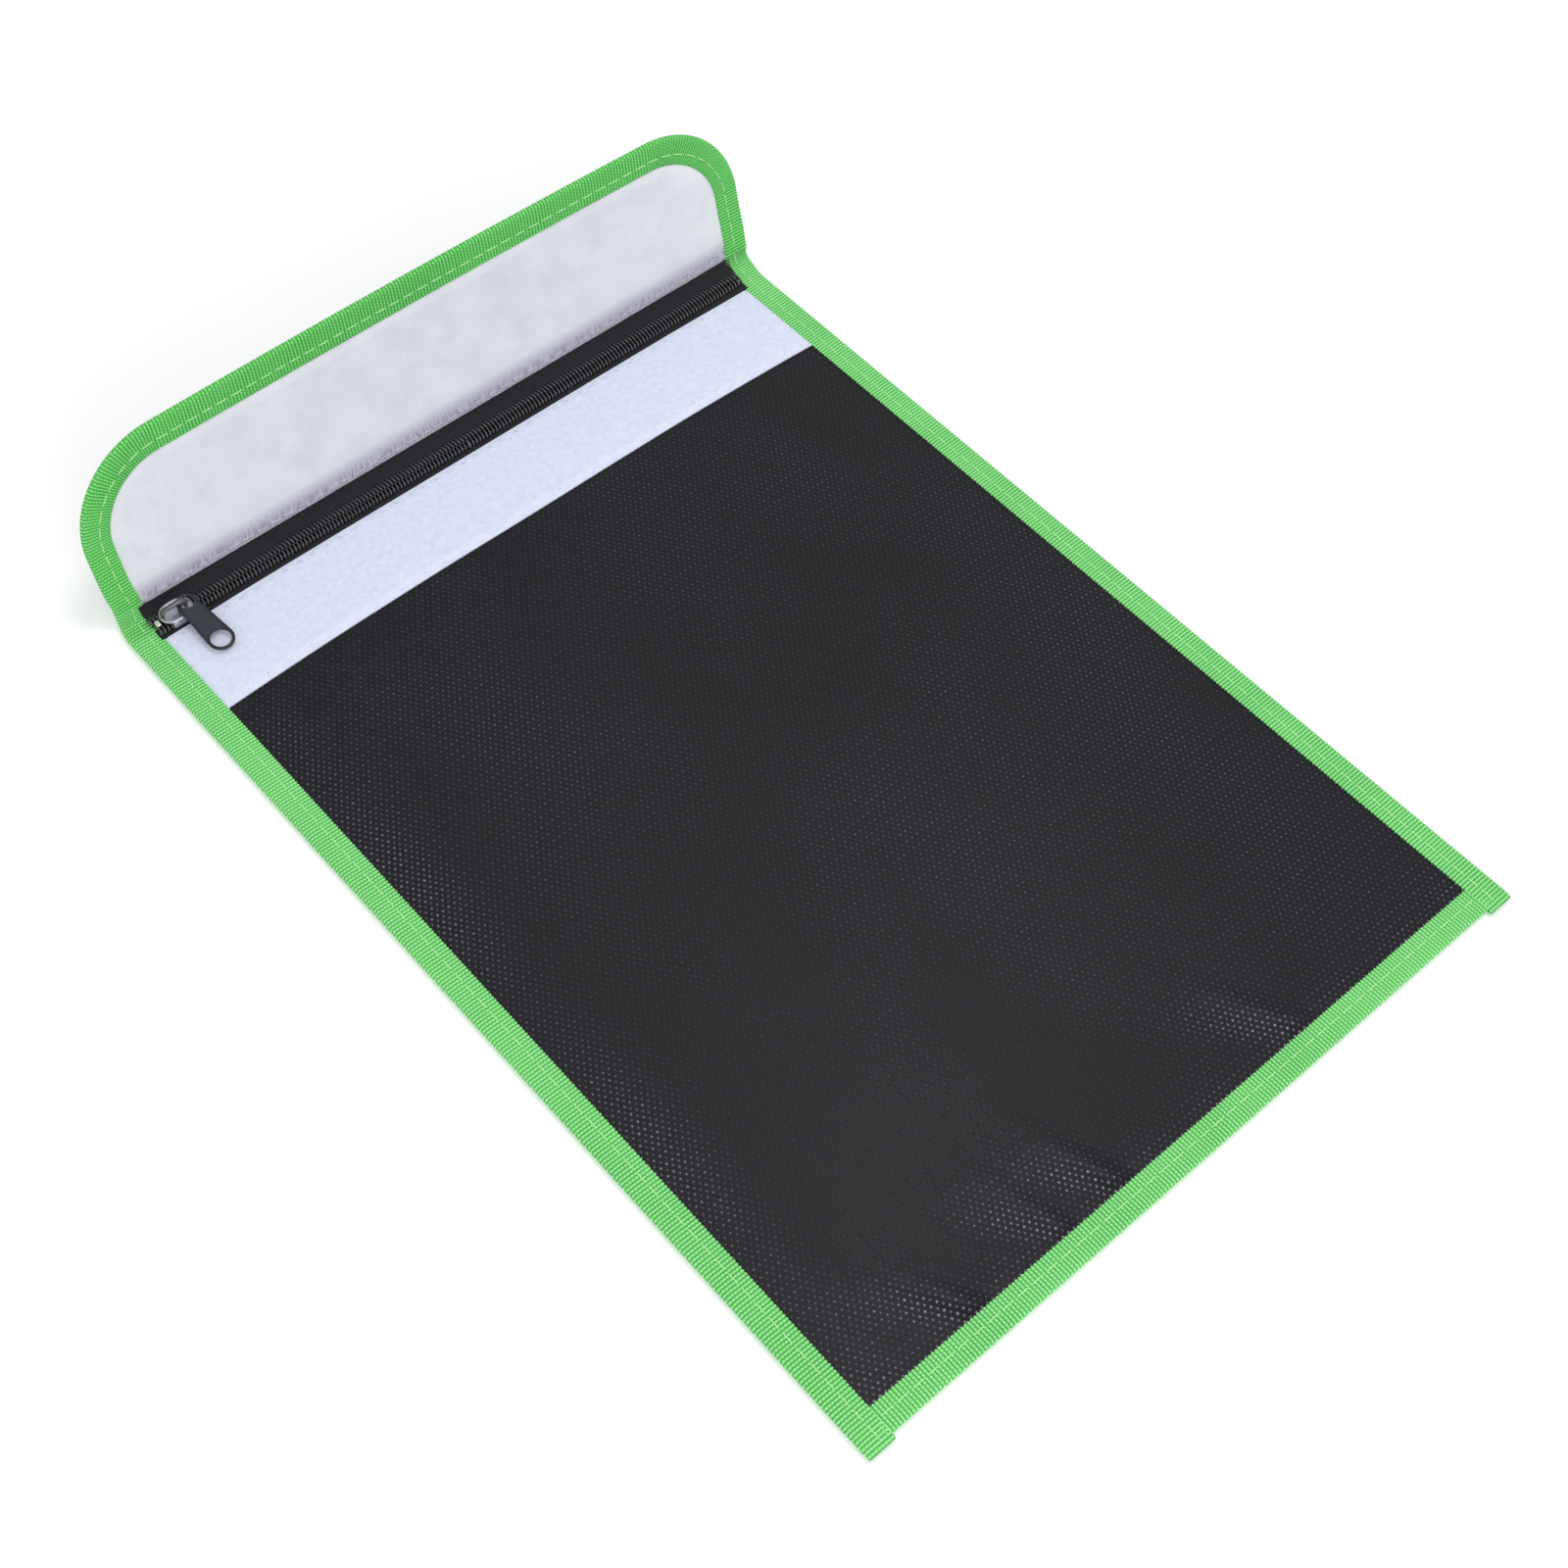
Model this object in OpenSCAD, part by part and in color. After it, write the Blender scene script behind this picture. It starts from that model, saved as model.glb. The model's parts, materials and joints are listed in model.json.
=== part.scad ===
// Flat fire-resistant battery pouch: two coated cloth panels bound in webbing on three sides,
// a zipped mouth, a hook strip below the zip and a hook-and-loop flap that folds over both.
// Frame: +X along the zip, +Y from the bottom edge towards the flap, +Z up out of the front.
// Origin: centre of the back face, which is the face the pouch lies on.

/* [Pouch] */
// Width over the two side bindings
pouch_w = 280; // [240:1:320]
// Length from the bottom edge to the fold of the flap
pouch_l = 378; // [340:1:420]
// Thickness of the coated cloth
cloth_t = 0.6; // [0.4:0.1:0.8]
// Thickness of the inner lining
lining_t = 0.3; // [0.2:0.1:0.4]
// Height of the empty pocket between the linings
pocket_h = 4.5; // [4.3:0.1:8]

/* [Edge binding] */
// Width of the folded webbing seen from the front
binding_w = 10; // [8:0.5:13]
// Thickness over a bound edge
binding_h = 3.2; // [3:0.1:3.6]
// Thickness of the webbing
webbing_t = 0.5; // [0.4:0.05:0.6]
// Length by which the cut ends of the side tapes pass the bottom edge
tail_l = 1.7; // [0:0.1:3]
// Distance of the stitch row from the inner edge of the binding
stitch_in = 4; // [3:0.5:5]

/* [Hook strip] */
// Width of the hook strip
strip_w = 38; // [25:1:50]
// Thickness of the hook strip
strip_t = 1; // [0.8:0.1:1.4]

/* [Zip] */
// Distance from the fold of the flap to the middle of the zip
zip_back = 11.4; // [11.2:0.1:14]
// Width of the closed coil chain
chain_w = 7; // [6.6:0.1:7.2]
// Height of the coil
coil_h = 2.3; // [2:0.1:2.4]
// Length of the slider
slider_l = 12.5; // [11:0.1:14]
// Width of the slider
slider_w = 9.4; // [9.2:0.1:9.6]

/* [Puller] */
// Length from the middle of the eye to the tip
puller_l = 23.5; // [20:0.5:30]
// Width of the puller at its tip
puller_w = 9.5; // [8.5:0.1:10]
// Thickness of the puller
puller_t = 1; // [1:0.1:1.2]
// Radius of the hole near the tip
puller_hole_r = 3.6; // [2:0.1:3.6]
// Slope of the puller down to the strip
puller_tilt = 5.5; // [3.5:0.1:5.5]
// Angle by which the puller hangs turned towards the middle of the zip
puller_turn = 3; // [0:0.5:15]

/* [Flap] */
// Length of the flap from its fold to its outer edge
flap_l = 65.5; // [55:0.5:90]
// Radius of the two outer corners
flap_r = 36; // [15:1:45]
// Angle of the standing flap from the plane of the pouch
flap_angle = 77; // [70:1:90]
// Length of the standing wall of the flap, below the line where the flap bends over
wall_l = 10.5; // [10.5:0.5:16]
// Thickness of the loop lining
loop_t = 0.9; // [0.6:0.1:1.2]

/* [Hidden] */

gap = 0.3;
half_w = pouch_w / 2;
y_bottom = -pouch_l / 2;
y_fold = pouch_l / 2;
bottom_w = binding_w - 0.6;
inner_x = half_w - binding_w;
inner_y = y_bottom + bottom_w;

// levels of the layers
lining_z = cloth_t;
pocket_z0 = lining_z + lining_t;
pocket_z1 = pocket_z0 + pocket_h;
front_z = pocket_z1 + lining_t;
seam_z = 1.9;

// the lip is the part of the front panel that lifts when the mouth opens
lip_x = 108;
lip_y0 = inner_y + 1;
foot_y = lip_y0 + 28;
yoke_y = y_fold - 72;
margin_x = lip_x + gap;
rim_x = half_w - webbing_t - gap;

// width by which the hems show beside the bindings
hem_in = 2;

// zip
zip_y = y_fold - zip_back;
tape_t = 0.5;
plate_b = 0.9;
plate_t = 0.9;
tape_z = pocket_z0 + gap + plate_b + gap;
coil_z = tape_z + tape_t;
coil_slot = 0.8;
slider_x = -half_w + 18.6;
top_plate_z = coil_z + coil_h + 0.4;
slider_top = top_plate_z + plate_t;
tape_y0 = zip_y - slider_w / 2 - 2;
tape_y1 = y_fold - 2.6;
yoke_z = tape_z - 0.1;

// hook strip, which ends just clear of the slider
strip_y1 = zip_y - slider_w / 2 - gap;
strip_y0 = strip_y1 - strip_w;
strip_z = coil_z;
yoke_flat_y = strip_y0 - 0.5;

// crown and puller
rod = 1.3;
crown_w = 2.2;
crown_l = 10.4;
crown_h = 3.5;
crown_r = 1.6;
leg_x = slider_x + slider_l / 2 - 1.7 - rod / 2;
eye_r = 2.5;
eye_wall = 1.1;
eye_play = 0.9;
eye_z = slider_top + 1.25;

// flap
fold_z = binding_h / 2;
bound_t = 2.9;
wall_s0 = 1.7;
bend_gap = 0.35;

// stitching, drawn as one thread
thread_w = 0.7;
thread_h = 0.3;

// a thread lying along +X
module thread(length) {
    translate([0, -thread_w / 2, 0]) cube([length, thread_w, thread_h]);
}

// a sheet of thickness t whose lower face spans the given corners
module sheet(corners, t) {
    post = 0.1;
    hull()
        for (p = corners)
            translate([p.x - post / 2, p.y - post / 2, p.z])
                cube([post, post, t]);
}

// a web of cloth extruded along X, from its side profile of [y, z] points on the lower face
module web(x0, x1, profile, t) {
    last = len(profile) - 1;
    outline = concat([for (p = profile) p],
                     [for (i = [last : -1 : 0]) [profile[i].x, profile[i].y + t]]);
    translate([x0, 0, 0])
        rotate([90, 0, 90])
            linear_extrude(x1 - x0) polygon(outline);
}

// ---- pouch: back ----

module back_panel() {
    color([0.16, 0.16, 0.18]) {
        translate([-inner_x, inner_y, 0])
            cube([2 * inner_x, tape_y1 - inner_y, cloth_t]);
        // hem raised into the slot of the bindings
        for (side = [-1, 1])
            translate([side > 0 ? inner_x - hem_in : -rim_x, inner_y, cloth_t])
                cube([rim_x - inner_x + hem_in, tape_y1 - inner_y, cloth_t]);
        translate([-rim_x, y_bottom + webbing_t + gap, cloth_t])
            cube([2 * rim_x, bottom_w + hem_in - webbing_t - gap, cloth_t]);
    }
}

module back_lining() {
    color([0.75, 0.76, 0.78])
        translate([-inner_x + hem_in, inner_y + hem_in, lining_z])
            cube([2 * (inner_x - hem_in), tape_y1 - inner_y - 2 * hem_in, lining_t]);
}

// ---- pouch: front margins, which stay down with the side seams ----

module front_margin(side) {
    color([0.16, 0.16, 0.18])
        mirror([side > 0 ? 0 : 1, 0, 0]) {
            low = [inner_x - hem_in, inner_y, seam_z];
            // hem inside the binding
            translate([inner_x - hem_in, inner_y, seam_z])
                cube([rim_x - inner_x + hem_in, yoke_flat_y - inner_y, cloth_t]);
            // bottom corner
            sheet([low, [margin_x, inner_y, seam_z], [margin_x, foot_y, front_z]], cloth_t);
            sheet([low, [margin_x, foot_y, front_z], [inner_x - hem_in, foot_y, seam_z]], cloth_t);
            // long slope
            sheet([[inner_x - hem_in, foot_y, seam_z], [margin_x, foot_y, front_z],
                   [margin_x, yoke_y, front_z], [inner_x - hem_in, yoke_y, seam_z]], cloth_t);
            // top corner
            sheet([[inner_x - hem_in, yoke_y, seam_z], [margin_x, yoke_y, front_z],
                   [margin_x, yoke_flat_y, yoke_z]], cloth_t);
            sheet([[inner_x - hem_in, yoke_y, seam_z], [margin_x, yoke_flat_y, yoke_z],
                   [inner_x - hem_in, yoke_flat_y, seam_z]], cloth_t);
            // level part beside the yoke
            translate([margin_x, yoke_flat_y, yoke_z])
                cube([inner_x - margin_x - 0.1, tape_y0 - yoke_flat_y - 0.1, cloth_t]);
        }
}

module front_margin_left() { front_margin(-1); }
module front_margin_right() { front_margin(1); }

// ---- front lip: the part of the front that lifts ----

module front_panel() {
    color([0.16, 0.16, 0.18])
        web(-lip_x, lip_x, [[lip_y0, seam_z], [foot_y, front_z], [yoke_y, front_z],
                            [yoke_flat_y, yoke_z], [tape_y0 - 0.1, yoke_z]], cloth_t);
}

module front_lining() {
    color([0.75, 0.76, 0.78])
        translate([-lip_x + 1, foot_y + 1, pocket_z1])
            cube([2 * lip_x - 2, yoke_y - foot_y - 2, lining_t]);
}

// ---- bindings ----

// folded webbing along +X, with its closed edge at y = 0 and its slot open towards +Y
module bound_edge(length, width) {
    rotate([90, 0, 90])
        linear_extrude(length)
            difference() {
                square([width, binding_h]);
                translate([webbing_t, webbing_t])
                    square([width, binding_h - 2 * webbing_t]);
            }
}

module side_binding(side) {
    color([0.36, 0.84, 0.36])
        mirror([side > 0 ? 0 : 1, 0, 0])
            translate([half_w, y_bottom - tail_l, 0])
                rotate([0, 0, 90]) bound_edge(pouch_l + tail_l - 3, binding_w);
}

module binding_left() { side_binding(-1); }
module binding_right() { side_binding(1); }

module binding_bottom() {
    color([0.36, 0.84, 0.36])
        translate([-inner_x + 0.1, y_bottom, 0])
            bound_edge(2 * inner_x - 0.2, bottom_w);
}

module binding_stitches() {
    color([0.66, 0.95, 0.6]) {
        for (side = [-1, 1])
            translate([side * (inner_x + stitch_in), y_bottom + 1, binding_h])
                rotate([0, 0, 90]) thread(pouch_l - 5);
        translate([-inner_x + 0.5, inner_y - stitch_in, binding_h])
            thread(2 * inner_x - 1);
    }
}

// ---- hook strip ----

module strip_piece(x0, x1) {
    color([0.86, 0.88, 0.95])
        translate([x0, strip_y0, strip_z]) cube([x1 - x0, strip_w, strip_t]);
}

module hook_strip() { strip_piece(-lip_x, lip_x); }

module hook_strip_ends() {
    strip_piece(-inner_x + 0.1, -margin_x);
    strip_piece(margin_x, inner_x - 0.1);
}

module hook_strip_stitches() {
    color([0.93, 0.94, 0.98])
        for (y = [strip_y0 + 3, strip_y1 - 2.5])
            translate([-lip_x, y, strip_z + strip_t]) thread(2 * lip_x);
}

// ---- zip ----

module tape(x0, x1, y0, y1) {
    color([0.12, 0.12, 0.13])
        translate([x0, y0, tape_z]) cube([x1 - x0, y1 - y0, tape_t]);
}

module zip_tape_upper() { tape(-inner_x, inner_x, zip_y + coil_slot, tape_y1); }
module zip_tape_lower() { tape(-lip_x, lip_x, tape_y0, zip_y - coil_slot); }

module zip_tape_ends() {
    tape(-inner_x, -margin_x, tape_y0, zip_y - coil_slot);
    tape(margin_x, inner_x, tape_y0, zip_y - coil_slot);
}

// half of the coil chain; side is +1 for the row next to the flap
module coil(x0, x1, side) {
    half_chain = chain_w / 2;
    color([0.1, 0.1, 0.11])
        translate([x0, zip_y, coil_z])
            mirror([0, side > 0 ? 0 : 1, 0])
                rotate([90, 0, 90])
                    linear_extrude(x1 - x0)
                        polygon([[coil_slot, 0], [half_chain, 0],
                                 [half_chain, coil_h * 0.7], [half_chain - 0.7, coil_h],
                                 [coil_slot, coil_h]]);
}

module zip_coil_upper() { coil(-inner_x, inner_x, 1); }
module zip_coil_lower() { coil(-lip_x, lip_x, -1); }

module zip_coil_ends() {
    coil(-inner_x, -margin_x, -1);
    coil(margin_x, inner_x, -1);
}

// crimped metal stop across both coils just before the slider
module zip_end_stop() {
    color([0.75, 0.75, 0.78])
        translate([-inner_x + gap, zip_y - coil_slot, coil_z])
            cube([1.6, 2 * coil_slot, coil_h]);
}

// ---- slider ----

module slider_plate(height) {
    linear_extrude(height)
        hull() {
            translate([slider_x - slider_l / 2 + 3, zip_y])
                square([4, slider_w], center = true);
            translate([slider_x + slider_l / 2 - 2.4, zip_y]) {
                translate([0, slider_w / 2 - 2.4]) circle(r = 2.4, $fn = 32);
                translate([0, -slider_w / 2 + 2.4]) circle(r = 2.4, $fn = 32);
            }
            translate([slider_x - slider_l / 2 + 1, zip_y])
                square([2, slider_w - 2.6], center = true);
        }
}

module slider_top_plate() {
    flange_l = 7.4;
    flange_t = 0.7;
    color([0.13, 0.13, 0.14]) {
        translate([0, 0, top_plate_z]) slider_plate(plate_t);
        for (side = [-1, 1])
            translate([slider_x - flange_l / 2 - 0.4,
                       zip_y + side * (slider_w / 2 - flange_t / 2) - flange_t / 2,
                       coil_z + gap])
                cube([flange_l, flange_t, top_plate_z - coil_z - gap + 0.1]);
    }
}

module slider_bottom_plate() {
    color([0.13, 0.13, 0.14])
        translate([0, 0, pocket_z0 + gap]) slider_plate(plate_b);
}

// the diamond between the plates, which wedges the two coils apart
module slider_post() {
    post_w = 2 * coil_slot - 2 * gap;
    color([0.13, 0.13, 0.14])
        translate([slider_x - slider_l / 2 + 0.8, zip_y - post_w / 2, pocket_z0 + gap + plate_b])
            cube([3, post_w, top_plate_z - pocket_z0 - gap - plate_b]);
}

module slider_crown() {
    color([0.13, 0.13, 0.14])
        translate([leg_x + rod / 2 - crown_l, zip_y + crown_w / 2, slider_top])
            rotate([90, 0, 0])
                linear_extrude(crown_w)
                    difference() {
                        crown_arch(crown_l, crown_h, crown_r);
                        translate([rod, -0.01])
                            crown_arch(crown_l - 2 * rod, crown_h - rod, 0.5);
                    }
}

// an upright rectangle with its two upper corners rounded
module crown_arch(length, height, r) {
    square([length, height - r]);
    translate([r, 0]) square([length - 2 * r, height]);
    for (x = [r, length - r])
        translate([x, height - r]) circle(r = r, $fn = 48);
}

// ---- puller ----

module puller() {
    tip_r = puller_w / 2;
    reach = puller_l - tip_r;
    color([0.13, 0.13, 0.14])
        translate([leg_x, zip_y, eye_z])
            rotate([puller_tilt, 0, 0])
                rotate([0, 0, puller_turn])
                    translate([0, -eye_play, -puller_t / 2])
                        linear_extrude(puller_t)
                            difference() {
                                hull() {
                                    circle(r = eye_r + eye_wall, $fn = 64);
                                    translate([0, -reach]) circle(r = tip_r, $fn = 64);
                                }
                                circle(r = eye_r, $fn = 64);
                                translate([0, -reach]) circle(r = puller_hole_r, $fn = 64);
                            }
}

// ---- flap ----

// children are drawn flat in the plane of the flap, x along the fold and y away from it,
// and +Z here is the side that faces the zip
module in_flap() {
    translate([0, y_fold - 1, fold_z])
        rotate([flap_angle, 0, 0]) children();
}

// outline of the flap, inset from its edge, between two distances from the fold
module flap_outline(inset, s0, s1) {
    r = flap_r - inset;
    x = half_w - inset;
    top = flap_l - inset;
    intersection() {
        translate([-x, s0]) square([2 * x, s1 - s0]);
        union() {
            translate([-x, 0]) square([2 * x, top - r]);
            translate([-x + r, 0]) square([2 * (x - r), top]);
            for (side = [-1, 1])
                translate([side * (x - r), top - r]) circle(r = r, $fn = 96);
        }
    }
}

// the webbing round the edge of the flap, with its slot
module flap_edge(s0, s1) {
    color([0.3, 0.8, 0.33])
        in_flap()
            difference() {
                translate([0, 0, -bound_t / 2])
                    linear_extrude(bound_t)
                        difference() {
                            flap_outline(0, s0, s1);
                            flap_outline(binding_w, s0 - 1, s1);
                        }
                translate([0, 0, -bound_t / 2 + webbing_t])
                    linear_extrude(bound_t - 2 * webbing_t)
                        flap_outline(webbing_t, s0 - 1, s1 + 1);
            }
}

// a layer of the flap that ends inside the slot of the webbing
module flap_layer(s0, s1, z0, t) {
    in_flap()
        translate([0, 0, z0])
            linear_extrude(t) flap_outline(webbing_t + 0.4, s0, s1);
}

bend_s0 = wall_l - bend_gap / 2;
bend_s1 = wall_l + bend_gap / 2;

module flap_wall_cloth() {
    color([0.16, 0.16, 0.18]) flap_layer(wall_s0, bend_s0, -cloth_t, cloth_t);
}
module flap_wall_loop() {
    color([0.83, 0.84, 0.88]) flap_layer(wall_s0, bend_s0, 0, loop_t);
}
module flap_wall_binding() { flap_edge(wall_s0, bend_s0); }
module flap_wall_stitches() {
    color([0.93, 0.94, 0.98])
        in_flap() translate([-inner_x + 1, 5, loop_t]) thread(2 * inner_x - 2);
}

module flap_cloth() {
    color([0.16, 0.16, 0.18]) flap_layer(bend_s1, flap_l, -cloth_t, cloth_t);
}
module flap_loop() {
    color([0.83, 0.84, 0.88]) flap_layer(bend_s1, flap_l, 0, loop_t);
}
module flap_binding() { flap_edge(bend_s1, flap_l + 1); }

// thread that follows the webbing up one side, across the top and down the other
module flap_stitches() {
    inset = binding_w - stitch_in;
    color([0.66, 0.95, 0.6])
        in_flap()
            translate([0, 0, bound_t / 2])
                linear_extrude(thread_h)
                    difference() {
                        flap_outline(inset - thread_w / 2, bend_s1 + 1, flap_l);
                        flap_outline(inset + thread_w / 2, bend_s1, flap_l);
                    }
}

back_panel();
back_lining();
front_panel();
front_lining();
front_margin_left();
front_margin_right();
binding_left();
binding_right();
binding_bottom();
binding_stitches();
hook_strip();
hook_strip_ends();
hook_strip_stitches();
zip_tape_upper();
zip_tape_lower();
zip_tape_ends();
zip_coil_upper();
zip_coil_lower();
zip_coil_ends();
zip_end_stop();
slider_top_plate();
slider_bottom_plate();
slider_post();
slider_crown();
puller();
flap_wall_cloth();
flap_wall_loop();
flap_wall_binding();
flap_wall_stitches();
flap_cloth();
flap_loop();
flap_binding();
flap_stitches();
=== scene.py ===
"""Looks of a lipo safe bag: a flat pouch of black coated glass cloth, edged in green webbing, with a
coil zip, a strip of white hook tape and a loop-lined flap that stands up from its far edge.

Metres throughout. x runs along the zip, y from the pouch's bottom seam to the flap, z up. Cloth that
folds over the flap's hinge line is laid out flat first: s follows its length and h is the height off
the middle of the cloth sandwich, on the side that faces the zip; place() folds that into space.
"""

import json
import math

import bpy
import numpy as np
from mathutils import Matrix, Vector


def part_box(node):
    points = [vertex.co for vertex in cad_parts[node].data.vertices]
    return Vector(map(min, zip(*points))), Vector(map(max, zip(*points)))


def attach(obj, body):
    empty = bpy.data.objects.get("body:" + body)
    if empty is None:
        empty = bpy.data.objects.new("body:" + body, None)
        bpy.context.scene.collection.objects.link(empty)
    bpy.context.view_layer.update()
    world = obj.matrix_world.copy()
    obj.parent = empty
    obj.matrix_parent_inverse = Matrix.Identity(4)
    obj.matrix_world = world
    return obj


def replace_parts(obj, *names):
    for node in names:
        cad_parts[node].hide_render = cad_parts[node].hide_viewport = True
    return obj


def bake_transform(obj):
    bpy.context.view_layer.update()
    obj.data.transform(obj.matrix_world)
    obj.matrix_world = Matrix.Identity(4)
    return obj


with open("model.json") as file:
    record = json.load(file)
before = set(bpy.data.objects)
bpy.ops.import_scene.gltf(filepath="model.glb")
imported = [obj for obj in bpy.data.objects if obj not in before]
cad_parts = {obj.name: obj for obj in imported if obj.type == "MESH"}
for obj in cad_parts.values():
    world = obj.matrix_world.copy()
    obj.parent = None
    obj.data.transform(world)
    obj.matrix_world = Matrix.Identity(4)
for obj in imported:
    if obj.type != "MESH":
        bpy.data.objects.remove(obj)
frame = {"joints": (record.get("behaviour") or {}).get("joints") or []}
scene = bpy.context.scene
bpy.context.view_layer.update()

MM = 0.001
SIDES = ((-1, "left"), (1, "right"))
rng = np.random.default_rng(11)


def low(node):
    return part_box(node)[0]


def high(node):
    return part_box(node)[1]


def joint(name):
    return next(j for j in frame["joints"] if j["name"] == name)


# ---- sizes read from the frame

HALF_W = high("binding_right").x
BAND_H = high("binding_right").z
SIDE_BAND = HALF_W - low("binding_right").x
BOTTOM_Y = low("binding_bottom").y
BOTTOM_BAND = high("binding_bottom").y - BOTTOM_Y
TAIL_Y = low("binding_left").y
STRIP_Y0, STRIP_Y1 = low("hook_strip").y, high("hook_strip").y
TAPE_TOP_Z = high("zip_tape_upper").z
ZIP_Y = (high("zip_coil_lower").y + low("zip_coil_upper").y) / 2
COIL_EDGE = high("zip_coil_upper").y
COIL_TOP = high("zip_coil_upper").z
PANEL_TOP = high("front_panel").z
SEAM_Z = low("front_panel").z

MIDDLE = BAND_H / 2
HINGE_Y = joint("flap_fold")["pos_m"][1]
FLAP_ANGLE = math.radians(joint("flap_fold")["range_deg"][1])
FLAP_DIR = Vector((0, math.cos(FLAP_ANGLE), math.sin(FLAP_ANGLE)))
FLAP_L = 65.5 * MM
FLAP_R = 36 * MM
FLAP_TOP_BAND = 11 * MM
FLAP_BOW = 1.2 * MM

FOLD_R = 4.4 * MM
FOLD_S0 = HINGE_Y - FOLD_R * math.tan(FLAP_ANGLE / 2)
FOLD_S1 = FOLD_S0 + FOLD_R * FLAP_ANGLE

# Where pieces hand over to each other along s, and where they bend.
POUCH_END = HINGE_Y - 4 * MM
WALL_JOIN = 4.5 * MM

CLOTH_T = 0.5 * MM
LINING_T = 0.25 * MM
HEM = 1.6 * MM  # how far a cloth's edge lies inside the fold of its webbing
WEB_T = 0.5 * MM
RIB = 1.275 * MM
RIB_DEPTH = 0.13 * MM
THREAD_R = 0.24 * MM
STITCH_PITCH = 5.9 * MM
STITCH_L = 4.7 * MM
STITCH_IN = 4 * MM
GRIPPED = 0.54 * MM  # half the thickness of the cloths where the binding holds them
TAPE_HALF = MIDDLE - 0.15 * MM  # half the height of a side tape
BOTTOM_HALF, BOTTOM_DROP = MIDDLE - 0.35 * MM, 0.2 * MM
SEAM_TOP = SEAM_Z + 0.2 * MM
WARP, WEFT = 2.2 * MM, 3.2 * MM
TAPE_CORD = 1.1 * MM
SHARP = math.radians(70)


def flap_s(f):
    """The laid-out length s of a point f up the flap from its hinge line."""
    return FOLD_S1 + f - FOLD_R * math.tan(FLAP_ANGLE / 2)


def place(x, s, h):
    """Points in space of the laid-out cloth at x across, s along and h off its middle."""
    x, s, h = np.broadcast_arrays(np.asarray(x, float), s, h)
    x = x * (1 + np.where(x > 0, 0.029, -0.006) * smooth((s - FOLD_S0 + 12 * MM) / (22 * MM)))
    turn = np.clip((s - FOLD_S0) / FOLD_R, 0, FLAP_ANGLE)
    past = np.maximum(s - FOLD_S1, 0) * (1 + 0.035 * (0.5 - (x / HALF_W) ** 2))
    up = np.clip(past / FLAP_L, 0, 1)
    h = h - FLAP_BOW * np.sin(np.pi * up) * np.clip(up * 4, 0, 1)
    y = np.minimum(s, FOLD_S0) + FOLD_R * np.sin(turn) + past * FLAP_DIR.y - np.sin(turn) * h
    z = MIDDLE + FOLD_R * (1 - np.cos(turn)) + past * FLAP_DIR.z + np.cos(turn) * h
    return np.stack([x, y, z], -1)


def smooth(t):
    t = np.clip(t, 0, 1)
    return t * t * (3 - 2 * t)


def hill(x, middle, width):
    return np.exp(-(((x - middle) / width) ** 2))


def half_width(s, side):
    """The outline's half width: the cloth is pinched where it turns up into the flap.

    The sign of side says which half, here and below: left is negative.
    """
    pinch = np.where(side < 0, 0.9, 0.3) * MM
    return HALF_W - pinch * hill(s, FOLD_S1 + 1 * MM, 6 * MM)


def tuck(inward):
    """0 where cloth is gripped inside the binding, 1 where it lies free of it."""
    return smooth((inward - 9 * MM) / (6 * MM))


def pouch_inward(x, y):
    """How far a point of the pouch lies in from its sewn edges."""
    return np.minimum(HALF_W - np.abs(x), y - BOTTOM_Y)


def flap_inward(x, f):
    """How far a point of the flap lies in from its rounded edge."""
    over = np.hypot(np.maximum(np.abs(x) - HALF_W + FLAP_R, 0), np.maximum(f - FLAP_L + FLAP_R, 0))
    corner = (np.abs(x) > HALF_W - FLAP_R) & (f > FLAP_L - FLAP_R)
    return np.where(corner, FLAP_R - over, np.minimum(HALF_W - np.abs(x), FLAP_L - f))


def back_height(x, s):
    """Height of the back cloth's outer face off the middle, from the pouch up into the flap."""
    on_flap = smooth((s - POUCH_END + 8 * MM) / (14 * MM))
    free = 0.85 * MM * (1 - on_flap) + 0.4 * MM * on_flap
    edge = np.where(s < FOLD_S1, pouch_inward(x, s), flap_inward(x, s - flap_s(0)))
    return -GRIPPED - free * tuck(edge)


# ---- mesh building


def grid(*lengths):
    """Points of a surface from lengths that broadcast together."""
    return np.stack(np.broadcast_arrays(*lengths), -1)


def grid_faces(rows, cols, wrap=False):
    r = np.arange(rows - 1)[:, None]
    c = np.arange(cols if wrap else cols - 1)[None, :]
    a = r * cols + c
    b = r * cols + (c + 1) % cols
    return np.stack([a, b, b + cols, a + cols], -1).reshape(-1, 4).tolist()


def new_object(name, data):
    obj = bpy.data.objects.new(name, data)
    scene.collection.objects.link(obj)
    return obj


def add_mesh(name, points, faces, uv=None, material=None, flat=False):
    """A smooth-shaded mesh object; uv is given per point and lands in the map called cloth."""
    mesh = bpy.data.meshes.new(name)
    mesh.from_pydata(np.asarray(points, float).reshape(-1, 3).tolist(), [], faces)
    if uv is not None:
        corner = np.zeros(len(mesh.loops), np.int32)
        mesh.loops.foreach_get("vertex_index", corner)
        layer = mesh.uv_layers.new(name="cloth")
        layer.data.foreach_set("uv", np.asarray(uv, np.float32).reshape(-1, 2)[corner].ravel())
    mesh.polygons.foreach_set("use_smooth", np.full(len(mesh.polygons), not flat))
    mesh.update()
    mesh.set_sharp_from_angle(angle=SHARP)
    if material:
        mesh.materials.append(material)
    return new_object(name, mesh)


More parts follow.
